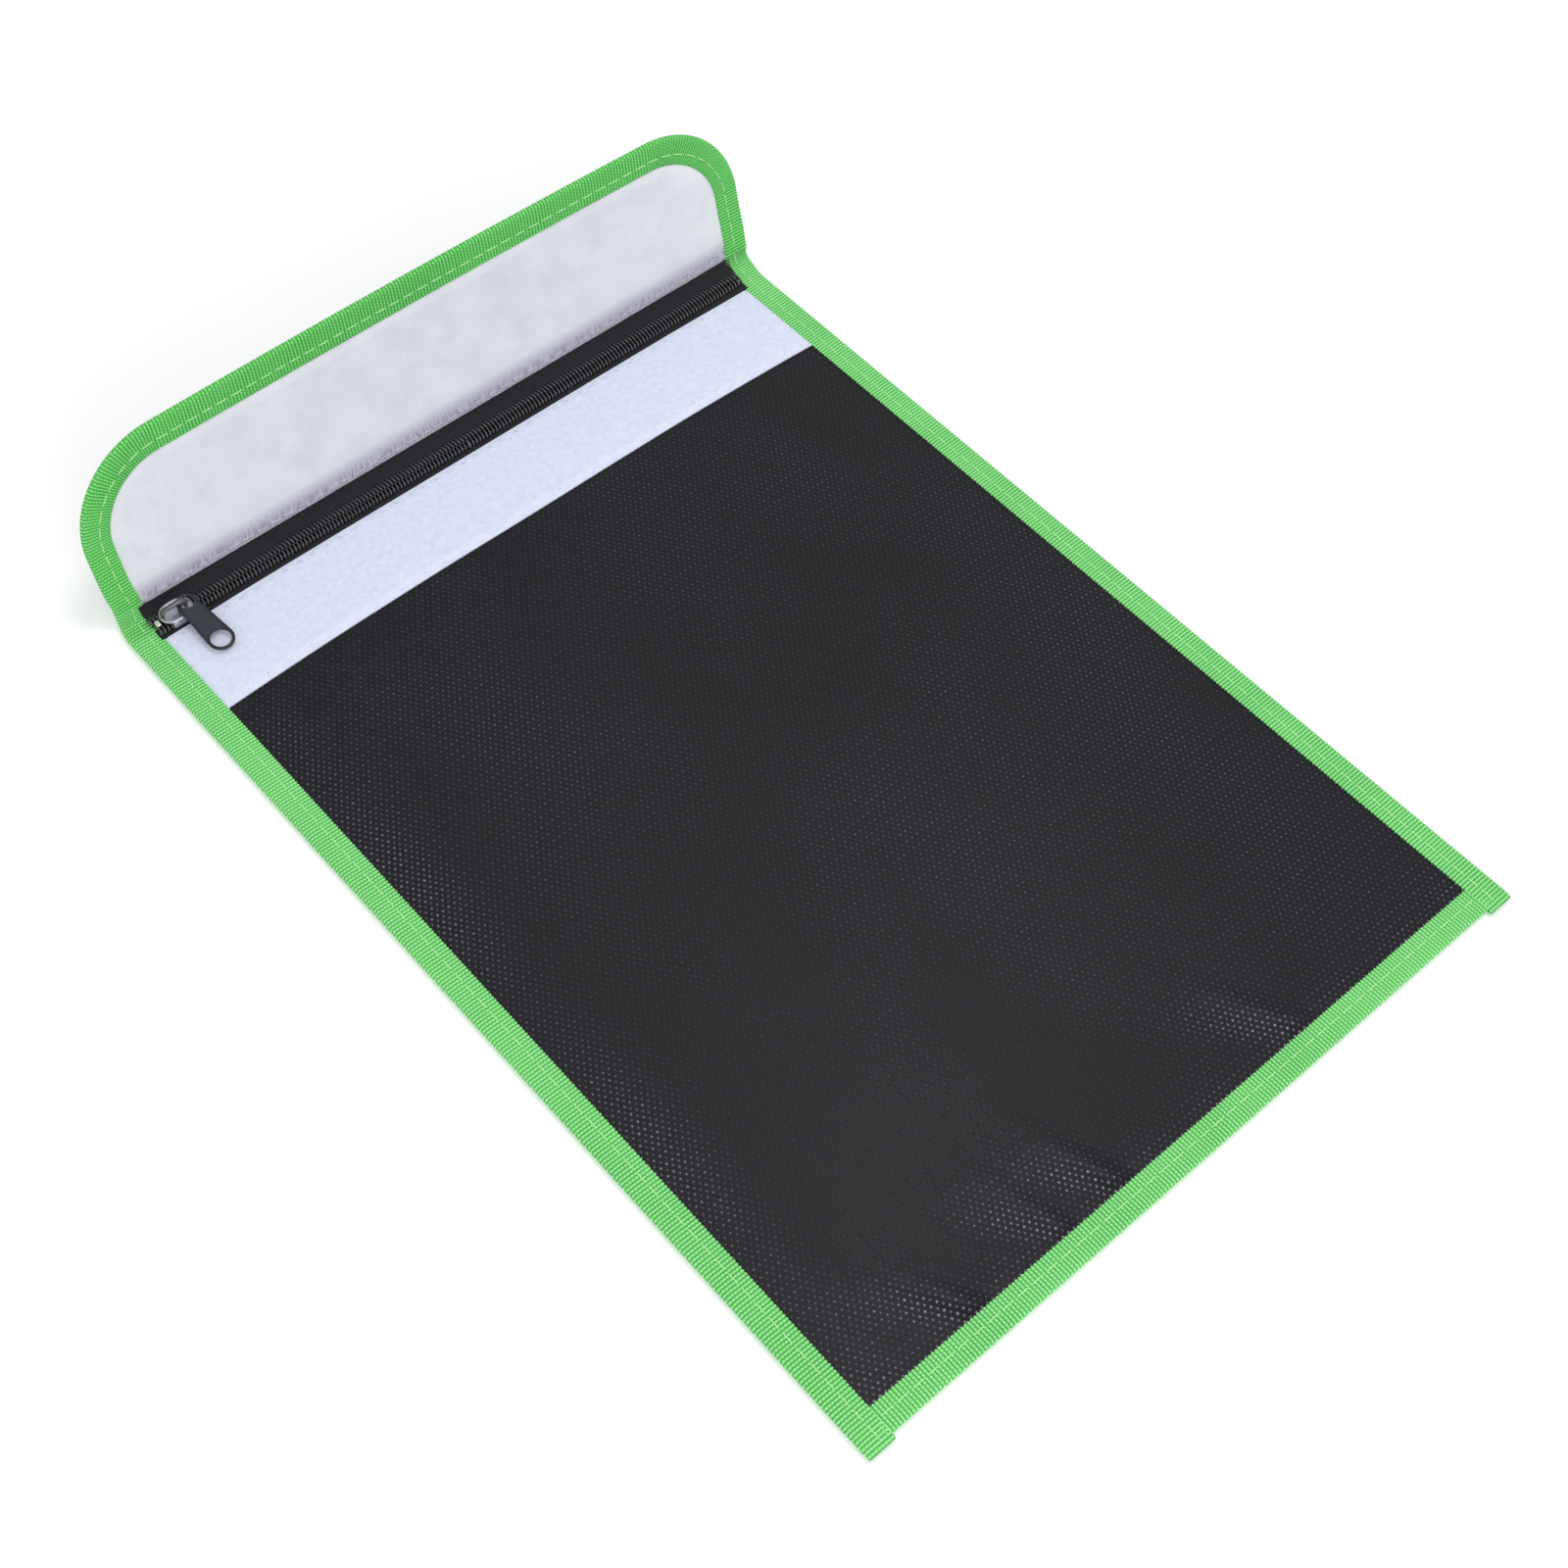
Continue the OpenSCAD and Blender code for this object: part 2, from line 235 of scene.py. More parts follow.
def shell(name, top, bottom, uv, material):
    """A closed thin sheet between two grids of points."""
    rows, cols = top.shape[:2]
    n = rows * cols
    index = np.arange(n).reshape(rows, cols)
    rim = np.concatenate([index[0, :-1], index[:-1, -1], index[-1, :0:-1], index[:0:-1, 0]])
    after = np.roll(rim, -1)
    faces = grid_faces(rows, cols)
    faces += [[d + n, c + n, b + n, a + n] for a, b, c, d in faces]
    faces += np.stack([rim, rim + n, after + n, after], -1).tolist()
    points = np.concatenate([top.reshape(-1, 3), bottom.reshape(-1, 3)])
    uv = np.asarray(uv, float).reshape(-1, 2)
    obj = add_mesh(name, points, faces, np.concatenate([uv, uv]), material)
    return outward(obj)


def slab(name, top, thickness, material):
    """A closed sheet of even thickness under a grid of points, mapped as seen from above."""
    return shell(name, top, top - [0, 0, thickness], top[..., :2], material)


def outward(obj):
    """Turns a closed mesh's faces outward."""
    mesh = obj.data
    mesh.calc_loop_triangles()
    tri = np.zeros(len(mesh.loop_triangles) * 3, np.int32)
    mesh.loop_triangles.foreach_get("vertices", tri)
    co = np.zeros(len(mesh.vertices) * 3)
    mesh.vertices.foreach_get("co", co)
    a, b, c = (co.reshape(-1, 3)[tri.reshape(-1, 3)[:, i]] for i in range(3))
    if (np.cross(a, b) * c).sum() < 0:
        mesh.flip_normals()
    return obj


def full_turn(count):
    return np.linspace(0, 2 * np.pi, count, endpoint=False)


def tube(path, radius, sides=8):
    """Points and faces of a closed round tube along a path; radius may vary along it."""
    path = np.asarray(path, float)
    radius = np.broadcast_to(radius, len(path))[:, None, None]
    ahead = np.gradient(path, axis=0)
    ahead /= np.linalg.norm(ahead, axis=1, keepdims=True)
    across = np.zeros_like(path)
    seed = np.eye(3)[np.argmin(np.abs(ahead[0]))]
    for i, t in enumerate(ahead):
        seed = seed - t * (seed @ t)
        seed /= np.linalg.norm(seed)
        across[i] = seed
    third = np.cross(ahead, across)
    a = full_turn(sides)[None, :, None]
    return lofted(path[:, None] + radius * (np.cos(a) * across[:, None] + np.sin(a) * third[:, None]))


def solid(name, shape, material):
    """A closed mesh object from a shape's points and faces."""
    return outward(add_mesh(name, *shape, material=material))


def joined(parts):
    """One list of points and faces from several."""
    points, faces, base = [], [], 0
    for p, f in parts:
        points.append(p)
        faces += [[i + base for i in face] for face in f]
        base += len(p)
    return np.concatenate(points), faces


def lofted(levels):
    """Points and faces of a closed body from rings of the same number of points."""
    rings = np.asarray(levels)
    rows, cols = rings.shape[:2]
    last = (rows - 1) * cols
    faces = grid_faces(rows, cols, wrap=True)
    faces += [list(range(cols))[::-1], list(range(last, last + cols))]
    return rings.reshape(-1, 3), faces


def rounded_ring(centre, half_x, half_y, z, power, count=48):
    """A ring of points on a rounded rectangle; a power of 2 is an ellipse."""
    a = full_turn(count)
    c, s = np.cos(a), np.sin(a)
    x = centre[0] + half_x * np.sign(c) * np.abs(c) ** (2 / power)
    y = centre[1] + half_y * np.sign(s) * np.abs(s) ** (2 / power)
    return np.stack([x, y, np.full(count, z)], -1)


def plan(lo, hi):
    """Centre and half sizes of a box seen from above."""
    centre = ((lo[0] + hi[0]) / 2, (lo[1] + hi[1]) / 2)
    return centre, (hi[0] - lo[0]) / 2, (hi[1] - lo[1]) / 2


def bevelled_block(lo, hi, edge, power):
    """A closed block with rounded corners and rolled top and bottom edges."""
    centre, half_x, half_y = plan(lo, hi)
    turns = np.linspace(0, np.pi / 2, 4)
    rings = []
    for z, up, order in ((lo[2], 1, turns), (hi[2], -1, turns[::-1])):
        for t in order:
            inset = edge * (1 - math.sin(t))
            level = z + up * edge * (1 - math.cos(t))
            rings.append(rounded_ring(centre, half_x - inset, half_y - inset, level, power))
    return lofted(rings)


# ---- materials


class Shader:
    """A principled material with short calls for the nodes that feed it."""

    def __init__(self, name, colour, roughness, **sockets):
        self.material = bpy.data.materials.new(name)
        self.material.use_nodes = True
        self.tree = self.material.node_tree
        self.bsdf = self.tree.nodes["Principled BSDF"]
        self.bsdf.inputs["Base Color"].default_value = (*colour, 1)
        self.bsdf.inputs["Roughness"].default_value = roughness
        for socket, value in sockets.items():
            self.bsdf.inputs[socket.replace("_", " ")].default_value = value

    def node(self, kind, **settings):
        made = self.tree.nodes.new("ShaderNode" + kind)
        for key, value in settings.items():
            setattr(made, key, value)
        return made

    def feed(self, socket, value):
        if hasattr(value, "is_output"):
            self.tree.links.new(value, socket)
        else:
            socket.default_value = value

    def math(self, operation, a, b=0.0, clamp=False):
        made = self.node("Math", operation=operation, use_clamp=clamp)
        self.feed(made.inputs[0], a)
        self.feed(made.inputs[1], b)
        return made.outputs[0]

    def plus(self, a, b, clamp=False):
        return self.math("ADD", a, b, clamp)

    def times(self, a, b, clamp=False):
        return self.math("MULTIPLY", a, b, clamp)

    def cloth_uv(self):
        """The two lengths of the cloth map, in metres."""
        split = self.node("SeparateXYZ")
        uv = self.node("UVMap", uv_map="cloth")
        self.feed(split.inputs[0], uv.outputs["UV"])
        return split.outputs[0], split.outputs[1]

    def wave(self, length, pitch, shift=0.0):
        """A cosine along a length, from -1 to 1, one turn each pitch."""
        turns = self.math("MULTIPLY_ADD", length, 2 * math.pi / pitch)
        turns.node.inputs[2].default_value = shift
        return self.math("COSINE", turns)

    def noise(self, size, detail=2.0, roughness=0.5, stretch=(1, 1, 1), cloth=False):
        """Noise of about that size in metres, in object space or laid along the cloth map."""
        if cloth:
            source = self.node("UVMap", uv_map="cloth").outputs["UV"]
        else:
            source = self.node("TexCoord").outputs["Object"]
        scale = self.node("Mapping")
        scale.inputs["Scale"].default_value = [1 / (size * k) for k in stretch]
        made = self.node("TexNoise")
        made.inputs["Scale"].default_value = 1.0
        made.inputs["Detail"].default_value = detail
        made.inputs["Roughness"].default_value = roughness
        self.feed(scale.inputs["Vector"], source)
        self.feed(made.inputs["Vector"], scale.outputs["Vector"])
        return made.outputs["Fac"]

    def spread(self, value, low_in, high_in, low_out=0.0, high_out=1.0):
        made = self.node("MapRange", clamp=True)
        for socket, number in zip(made.inputs[1:5], (low_in, high_in, low_out, high_out)):
            socket.default_value = number
        self.feed(made.inputs["Value"], value)
        return made.outputs["Result"]

    def blend(self, share, first, second):
        made = self.node("Mix", data_type="RGBA")
        self.feed(made.inputs["Factor"], share)
        for socket, colour in ((made.inputs[6], first), (made.inputs[7], second)):
            self.feed(socket, (*colour, 1) if isinstance(colour, tuple) else colour)
        return made.outputs[2]

    def tones(self, value, low_in, high_in, first, second):
        return self.blend(self.spread(value, low_in, high_in), first, second)

    def finish(self, colour, roughness=None, height=None, depth=0.1 * MM):
        for name, value in (("Base Color", colour), ("Roughness", roughness)):
            if value is not None:
                self.feed(self.bsdf.inputs[name], value)
        if height is not None:
            bump = self.node("Bump")
            bump.inputs["Strength"].default_value = 1.0
            bump.inputs["Distance"].default_value = depth
            self.feed(bump.inputs["Height"], height)
            self.feed(self.bsdf.inputs["Normal"], bump.outputs["Normal"])
        return self.material


def coated_cloth():
    """Black silicone over woven glass: crossings stand up in a lattice, and their colour is lightened into
    painted glints in random spots and in zones read per point.
    """
    m = Shader("coated_cloth", (0.01, 0.01, 0.0125), 0.42, Specular_IOR_Level=0.17)
    u, v = m.cloth_uv()

    def lattice(shift):
        along = m.times(m.wave(u, WARP, shift), 0.38)
        crossing = m.plus(along, m.times(m.wave(v, WEFT, shift), 0.62))
        return m.math("POWER", m.math("MAXIMUM", crossing, 0.0), 7.0)

    knob = m.plus(lattice(0.0), m.times(lattice(math.pi), 0.45))
    # Painted highlights: how strongly the crossings are lightened into glints, at random and by a per-point
    # mask.
    glint_zone = m.node("Attribute", attribute_name="painted_glint_mask").outputs["Fac"]
    glint_patches = m.spread(m.noise(75 * MM, 2.0, stretch=(1, 1.6, 1)), 0.42, 0.68, 0.12, 0.42)
    grain = m.spread(m.noise(1.7 * MM, 2.0), 0.35, 0.65, 0.35, 1.0)
    painted_glint = m.times(m.times(knob, m.plus(glint_patches, glint_zone)), grain, clamp=True)
    fine = m.times(m.wave(u, WARP / 2), m.wave(v, WEFT / 2))
    height = m.plus(m.times(fine, 0.15), knob)
    height = m.plus(height, m.times(m.noise(0.5 * MM, 3.0), 0.3))
    rough = m.math("SUBTRACT", 0.44, m.times(knob, 0.2))
    # Painted highlight: the crossings turn pale grey where glints are painted.
    colour = m.blend(painted_glint, (0.0075, 0.0075, 0.01), (0.28, 0.28, 0.33))
    scuff = m.spread(m.noise(7 * MM, 6.0, 0.7), 0.66, 0.8, 0.0, 0.35)
    colour = m.blend(scuff, colour, (0.022, 0.022, 0.027))
    return m.finish(colour, rough, height)


def back_cloth_finish():
    """The same cloth where it is only seen flat: a quieter weave and duller coat."""
    m = Shader("coated_cloth_back", (0.012, 0.012, 0.015), 0.5, Specular_IOR_Level=0.28)
    u, v = m.cloth_uv()
    weave = m.times(m.wave(u, WARP), m.wave(v, WEFT))
    wear = m.spread(m.noise(22 * MM, 5.0, 0.6), 0.4, 0.75)
    colour = m.blend(wear, (0.01, 0.01, 0.0125), (0.016, 0.016, 0.019))
    height = m.plus(weave, m.noise(0.6 * MM, 3.0))
    return m.finish(colour, m.spread(wear, 0, 1, 0.44, 0.56), height, depth=0.06 * MM)


def green_webbing(name="green_webbing", dark=(0.045, 0.33, 0.05), light=(0.33, 0.9, 0.3)):
    """Ribbed webbing: ribs across the tape, each broken into staggered yarn loops."""
    m = Shader(name, light, 0.62, Specular_IOR_Level=0.3, Sheen_Weight=0.12, Sheen_Roughness=0.5)
    u, v = m.cloth_uv()
    rib = m.wave(u, RIB)
    loops = m.times(m.wave(u, 2 * RIB), m.wave(v, 1.25 * MM))
    yarn = m.plus(m.times(rib, 0.66), m.times(loops, 0.45))
    yarn = m.plus(yarn, m.times(m.noise(0.45 * MM, 2.0), 0.5))
    # Painted shade: the colour follows the yarn's height, darker in the rib valleys and between the loops.
    shade = m.spread(yarn, -0.55, 0.95)
    tone = m.spread(m.noise(30 * MM, 2.0), 0.3, 0.7, -0.06, 0.06)
    colour = m.blend(m.plus(shade, tone, clamp=True), dark, light)
    return m.finish(colour, m.spread(shade, 0, 1, 0.75, 0.55), yarn, depth=0.16 * MM)


def thread(name, colour):
    """Twisted sewing thread."""
    m = Shader(name, colour, 0.5, Specular_IOR_Level=0.4, Sheen_Weight=0.2)
    twist = m.noise(0.35 * MM, 2.0)
    dark = tuple(0.75 * c for c in colour)
    return m.finish(m.tones(twist, 0.3, 0.7, dark, colour), None, twist, depth=0.08 * MM)


def hook_pile():
    """Bluish white hook tape: a dense short pile between two flat selvages."""
    m = Shader("hook_tape", (0.64, 0.68, 0.85), 0.92, Specular_IOR_Level=0.2, Sheen_Weight=0.15)
    fuzz = m.noise(0.32 * MM, 4.0, 0.75)
    clump = m.noise(2.4 * MM, 3.0, 0.6)
    broad = m.noise(16 * MM, 2.0)
    shade = m.plus(m.times(fuzz, 0.55), m.times(clump, 0.45))
    colour = m.tones(shade, 0.32, 0.62, (0.61, 0.64, 0.795), (0.765, 0.795, 0.94))
    colour = m.blend(m.spread(broad, 0.35, 0.7, 0.0, 0.3), colour, (0.67, 0.73, 0.925))
    return m.finish(colour, None, shade, depth=0.25 * MM)


def loop_nap():
    """Pale grey loop pile, with painted shade in a darker streaked strip at its foot along the seam."""
    m = Shader("loop_lining", (0.65, 0.67, 0.73), 0.9, Specular_IOR_Level=0.2, Sheen_Weight=0.3)
    v = m.cloth_uv()[1]
    streak = m.noise(0.7 * MM, 3.0, 0.7, stretch=(1, 6, 1), cloth=True)
    blotch = m.noise(14 * MM, 3.0, 0.55, cloth=True)
    edge = m.plus(v, m.times(streak, -5.5 * MM))
    # Painted shade: darker towards the foot of the lining, its edge ragged along the streaks of the nap.
    foot_shade = m.spread(edge, 4.0 * MM, 9.5 * MM, 1.0, 0.0)
    pale = m.tones(blotch, 0.35, 0.7, (0.73, 0.745, 0.795), (0.8, 0.812, 0.85))
    streaked_shade = m.tones(streak, 0.4, 0.6, (0.3, 0.285, 0.38), (0.58, 0.56, 0.66))
    colour = m.blend(m.times(foot_shade, 0.92), pale, streaked_shade)
    fuzz = m.plus(streak, m.noise(0.3 * MM, 3.0, 0.7))
    return m.finish(colour, None, fuzz, depth=0.14 * MM)


def inner_glass():
    """Pale woven glass on the inside of the pouch."""
    m = Shader("inner_lining", (0.46, 0.47, 0.48), 0.6, Specular_IOR_Level=0.4)
    u, v = m.cloth_uv()
    weave = m.times(m.wave(u, 1.6 * MM), m.wave(v, 1.6 * MM))
    colour = m.tones(weave, -1, 1, (0.38, 0.39, 0.4), (0.52, 0.53, 0.54))
    return m.finish(colour, None, m.plus(weave, m.noise(0.8 * MM)), depth=0.08 * MM)


def zip_tape_cloth():
    """Tightly woven black tape with fine lengthwise cords."""
    m = Shader("zip_tape", (0.017, 0.016, 0.02), 0.75, Specular_IOR_Level=0.25, Sheen_Weight=0.08)
    u, v = m.cloth_uv()
    weave = m.times(m.wave(u, 0.7 * MM), m.wave(v, 0.55 * MM))
    cords = m.plus(weave, m.wave(v, TAPE_CORD))
    colour = m.tones(cords, -2, 2, (0.009, 0.0085, 0.011), (0.02, 0.019, 0.024))
    return m.finish(colour, None, cords, depth=0.06 * MM)


def coil_nylon():
    """Glossy black monofilament."""
    m = Shader("zip_coil", (0.014, 0.013, 0.017), 0.26, Specular_IOR_Level=0.8, Coat_Weight=0.6)
    haze = m.noise(1.2 * MM, 3.0)
    colour = m.blend(haze, (0.008, 0.0075, 0.01), (0.02, 0.019, 0.024))
    return m.finish(colour, m.spread(haze, 0.3, 0.7, 0.26, 0.36), haze, depth=0.02 * MM)


def painted_metal(name, colour, roughness, metallic=0.0):
    """Enamelled die casting: faint orange peel, worn a little paler in scattered spots."""
    m = Shader(name, colour, roughness, Metallic=metallic, Specular_IOR_Level=0.5)
    peel = m.noise(0.6 * MM, 2.0)
    pale = tuple(min(1, 1.5 * c + 0.01) for c in colour)
    wear = m.spread(m.noise(2.5 * MM, 6.0, 0.65), 0.52, 0.75, 0.0, 0.6)
    rough = m.spread(peel, 0.3, 0.7, roughness * 0.85, roughness * 1.2)
    return m.finish(m.blend(wear, colour, pale), rough, peel, depth=0.015 * MM)


# Dark grey for the needle holes: painted shade.
def needle_hole_shade():
    m = Shader("needle_hole", (0.16, 0.16, 0.22), 0.9, Specular_IOR_Level=0.1)
    grain = m.noise(0.3 * MM, 2.0)
    return m.finish(m.blend(grain, (0.1, 0.1, 0.15), (0.24, 0.24, 0.32)), None, grain)


BLACK_CLOTH = coated_cloth()
BACK_CLOTH = back_cloth_finish()
# One webbing in two copies: the pouch's lighter, as painted light on tape that lies flat, the flap's darker,
# as painted shade on tape that stands up.
TOP_LIT_WEBBING = green_webbing()
SHADED_FLAP_WEBBING = green_webbing("green_webbing_flap_shaded", (0.03, 0.29, 0.034), (0.215, 0.8, 0.19))
GREEN_THREAD = thread("green_thread", (0.5, 0.93, 0.42))
WHITE_THREAD = thread("white_thread", (0.93, 0.94, 0.99))
LOOP_THREAD = thread("loop_thread", (0.66, 0.65, 0.74))
HOOK = hook_pile()
NAP = loop_nap()
INNER = inner_glass()
ZIP_TAPE = zip_tape_cloth()
COIL = coil_nylon()
PLATE = painted_metal("slider_plate", (0.44, 0.43, 0.47), 0.28, metallic=0.85)
CROWN = painted_metal("slider_crown", (0.12, 0.12, 0.13), 0.3, metallic=0.7)
RIM = painted_metal("puller_rim", (0.008, 0.008, 0.011), 0.3)
PULL = painted_metal("puller_paint", (0.011, 0.015, 0.022), 0.45)
STOP = painted_metal("stop_metal", (0.74, 0.73, 0.73), 0.3, metallic=1.0)
HOLE_SHADE = needle_hole_shade()


# ---- the front's surface

PUCKERS = (
    # x where it meets the bottom seam, slant, width, height
    (54 * MM, -0.55, 4.0 * MM, 2.1 * MM),
    (-27 * MM, -0.35, 3.8 * MM, 2.1 * MM),
    (-50 * MM, -0.3, 3.2 * MM, 1.1 * MM),
    (-86 * MM, -0.55, 4.0 * MM, 1.7 * MM),
)
BOTTOM_SEAM = BOTTOM_Y + BOTTOM_BAND
SIDE_SEAM = HALF_W - SIDE_BAND
SWELL = PANEL_TOP - SEAM_Z - CLOTH_T


def dome(distance, reach):
    return 1 - (1 - np.clip(distance / reach, 0, 1)) ** 2


def ripples(x, y):
    """Slow unevenness of cloth that has been folded and laid out again."""
    total = 0
    for length, turn, phase in ((84, 0.4, 0.3), (61, 1.5, 1.9), (43, 2.4, 4.0), (33, 0.9, 5.2)):
        along = x * math.cos(turn) + y * math.sin(turn)
        total = total + length * np.sin(2 * np.pi * along / (length * MM) + phase)
    return total * 0.0011 * MM


def front_z(x, y):
    """The outer face of the front cloth."""
    x, y = np.broadcast_arrays(np.asarray(x, float), y)
    seam = np.maximum(SIDE_SEAM + 1 * MM - np.abs(x), 0)
    foot = np.maximum(y - BOTTOM_SEAM, 0)
    full = dome(seam, 85 * MM) * dome(foot, 95 * MM) * dome(ZIP_Y - y, 85 * MM)
    z = SEAM_TOP + SWELL * full + ripples(x, y) * full
    for x0, slant, width, height in PUCKERS:
        fade = np.exp(-foot / (13 * MM)) * dome(foot, 3 * MM)
        z = z + height * fade * hill(x, x0 + slant * foot, width)
        z = z - 0.4 * height * fade * hill(x, x0 + 1.7 * width + slant * foot, width)
    # A hollow goes no deeper than the seam, where the linings lie.
    return np.maximum(z, SEAM_TOP)


def painted_glint_mask(x, y):
    """Where the weave's painted glints are strongest: beside the puckers, along the bottom seam and the left
    side.
    """
    foot = np.maximum(y - BOTTOM_SEAM, 0)
    total = 0.9 * np.exp(-foot / (5 * MM)) * (0.45 + 0.55 * np.sin(x / (9 * MM)) ** 2)
    along = np.exp(-(((foot - 10 * MM) / (14 * MM)) ** 2))
    for x0, slant, width, _ in PUCKERS:
        middle = x0 + (slant - 0.25) * foot - 0.9 * width
        total = total + 1.5 * along * hill(x, middle, 0.9 * width + 0.25 * foot)
    side = hill(x, -124 * MM, 10 * MM) * (0.35 + 0.65 * np.sin(y / (37 * MM) + 0.6) ** 2)
    return np.clip(total + 0.9 * side * smooth((STRIP_Y0 - y) / (30 * MM)), 0, 2.2)


def strip_rise(y):
    """How far the hook tape stands off the cloth: thin selvages and a pile between them."""
    inside = np.minimum(y - STRIP_Y0, STRIP_Y1 - y)
    selvage = 0.45 * MM + 0.12 * MM * smooth(inside / (0.4 * MM))
    return selvage + 0.55 * MM * smooth((inside - 1.6 * MM) / (1.6 * MM))


# ---- pieces of the pouch


def halves(build):
    """Builds a left and a right half, and bakes each one's transform."""
    for side, word in SIDES:
        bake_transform(build(side, word))


def front_cloth():
    edge = HALF_W - HEM
    y = np.linspace(BOTTOM_Y + HEM, STRIP_Y1 - 1 * MM, 240)[:, None]

    def build(side, word):
        x = side * np.linspace(0, edge, 94)[None, :]
        top = grid(x, y, front_z(x, y))
        piece = slab(f"front_cloth_{word}", top, CLOTH_T, BLACK_CLOTH)
        # Per-point strength of the painted glints on the cloth, read by its material.
        glint_zone = piece.data.attributes.new("painted_glint_mask", "FLOAT", "POINT")
        glint_zone.data.foreach_set("value", np.tile(painted_glint_mask(top[..., 0], top[..., 1]).ravel(), 2))
        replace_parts(piece, "front_panel", f"front_margin_{word}")
        return piece

    halves(build)


def front_lining():
    edge = SIDE_SEAM - 2 * MM
    y = np.linspace(BOTTOM_SEAM + 2 * MM, STRIP_Y1 - 2 * MM, 90)[:, None]

    def build(side, word):
        x = side * np.linspace(0, edge, 40)[None, :]
        z = np.maximum(front_z(x, y) - CLOTH_T - 0.15 * MM, 1.45 * MM)
        top = grid(x, y, z)
        piece = slab(f"front_lining_{word}", top, LINING_T, INNER)
        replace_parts(piece, "front_lining")
        return piece

    halves(build)


def back_cloth():
    """The pouch's back, running on round the fold and up into the flap's wall."""
    lying = np.linspace(BOTTOM_Y + HEM, FOLD_S0 - 3 * MM, 160)
    turning = np.linspace(FOLD_S0 - 2.4 * MM, flap_s(WALL_JOIN), 22)
    s = np.concatenate([lying, turning])[:, None]
    share = np.linspace(-1, 1, 150)[None, :]
    x = share * half_width(s, share) * (1 - HEM / HALF_W)
    wave = 1 + np.sin(x / (19 * MM) + 2 * np.sin(s / (31 * MM)))
    lift = 0.07 * MM * wave * tuck(pouch_inward(x, s))
    face = back_height(x, s) + lift * smooth((POUCH_END - s) / (30 * MM))
    piece = shell("back_cloth", place(x, s, face + CLOTH_T), place(x, s, face), grid(x, s), BACK_CLOTH)
    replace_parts(piece, "back_panel", "flap_wall_cloth")
    across_fold(piece)


def back_lining():
    lo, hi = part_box("back_lining")
    x = np.linspace(lo.x, hi.x, 60)[None, :]
    y = np.linspace(lo.y, FOLD_S0 - 6 * MM, 80)[:, None]
    z = MIDDLE + back_height(x, y) + CLOTH_T + 0.3 * MM + 0.06 * MM * np.sin(x / (17 * MM))
    top = grid(x, y, z)
    piece = slab("back_lining_cloth", top, LINING_T, INNER)
    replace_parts(piece, "back_lining")
    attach(piece, "pouch")


def across_fold(piece):
    """Bakes the transform of a piece that turns up from the pouch into the flap's wall; place() has already
    folded its points.
    """
    inner = Vector(place(0.0, flap_s(WALL_JOIN), MIDDLE).tolist())
    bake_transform(piece)


def up_the_wall(piece):
    """Bakes the transform of a piece of the flap above its wall; place() has already folded its points."""
    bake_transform(piece)


# ---- webbing

EDGE_T = 1.1 * MM
SKIN = [(a, 0.0, 1.0) for a in np.linspace(1, 0, 17)]
SKIN += [(0.0, math.sin(t), math.cos(t)) for t in np.linspace(0, np.pi, 7)[1:-1]]
SKIN += [(a, 0.0, -1.0) for a in np.linspace(0, 1, 8)]
LINING = [(a, 0.0, -1.0) for a in np.linspace(1, 0, 4)]
LINING += [(0.0, 1.0, 0.0)]
LINING += [(a, 0.0, 1.0) for a in np.linspace(0, 1, 5)]


def band_height(inward, width, half):
    """Height of a folded tape's face over the middle: a soft crown and a groove at the stitches."""
    crown = half * (1 - 0.28 * (inward / width) ** 2)
    return crown - 0.16 * MM * hill(inward, width - STITCH_IN, 0.7 * MM)


def webbing(name, outline, phase, width, half, depth=RIB_DEPTH, shift=0.0, material=TOP_LIT_WEBBING):
    """A tape folded over an edge. outline gives x, s and the inward direction for each phase step."""
    x, s, nx, ns = (np.asarray(k, float)[:, None] for k in outline)
    phase, width, half, depth, shift = (
        np.broadcast_to(np.asarray(k, float), len(x))[:, None] for k in (phase, width, half, depth, shift)
    )
    rib = np.cos(2 * np.pi * phase / RIB)
    columns = []
    for skin, parts in ((1, SKIN), (0, LINING)):
        for a, b, c in parts:
            inward = EDGE_T * (1 - b) + (width - EDGE_T) * a + 0.16 * MM * rib * (a == 1)
            face = band_height(inward, width, half)
            grow = rib * depth if skin else -WEB_T
            inward = inward - b * grow
            h = c * (face + (grow if b == 0 else grow * abs(c)))
            across = inward if c >= 0 else -inward
            columns.append((x + nx * inward, s + ns * inward, h + shift, phase, across))
    xs, ss, hs, us, vs = (np.concatenate(column, 1) for column in zip(*columns))
    piece = add_mesh(name, *lofted(place(xs, ss, hs)), grid(us, vs), material)
    return outward(piece)


def side_outline(side, s):
    edge = side * half_width(s, side)
    return edge, s, np.full(len(s), -float(side)), np.zeros(len(s))


def side_half_height(s):
    """Half the tape's thickness: pressed flat at its cut end."""
    return TAPE_HALF - 0.75 * MM * smooth((BOTTOM_Y + 1.0 * MM - s) / (2.6 * MM))


def side_band(side, s):
    """The side tape's width: the right one spreads where it is gathered over the zip's end."""
    return SIDE_BAND + (2.2 * MM if side > 0 else 0) * hill(s, HINGE_Y - 6 * MM, 5.5 * MM)


def pleats(side, s):
    """Extra rib depth where the tape is gathered at the turn."""
    middle = np.where(side < 0, FOLD_S0 - 4.5 * MM, FOLD_S1 + 0.5 * MM)
    reach = np.where(side < 0, 4.6, 4.2) * MM
    return RIB_DEPTH * (1 + 2.8 * hill(s, middle, reach) ** 2)


def side_webbing(name, side, s):
    width, half, depth = side_band(side, s), side_half_height(s), pleats(side, s)
    return webbing(name, side_outline(side, s), s, width, half, depth)


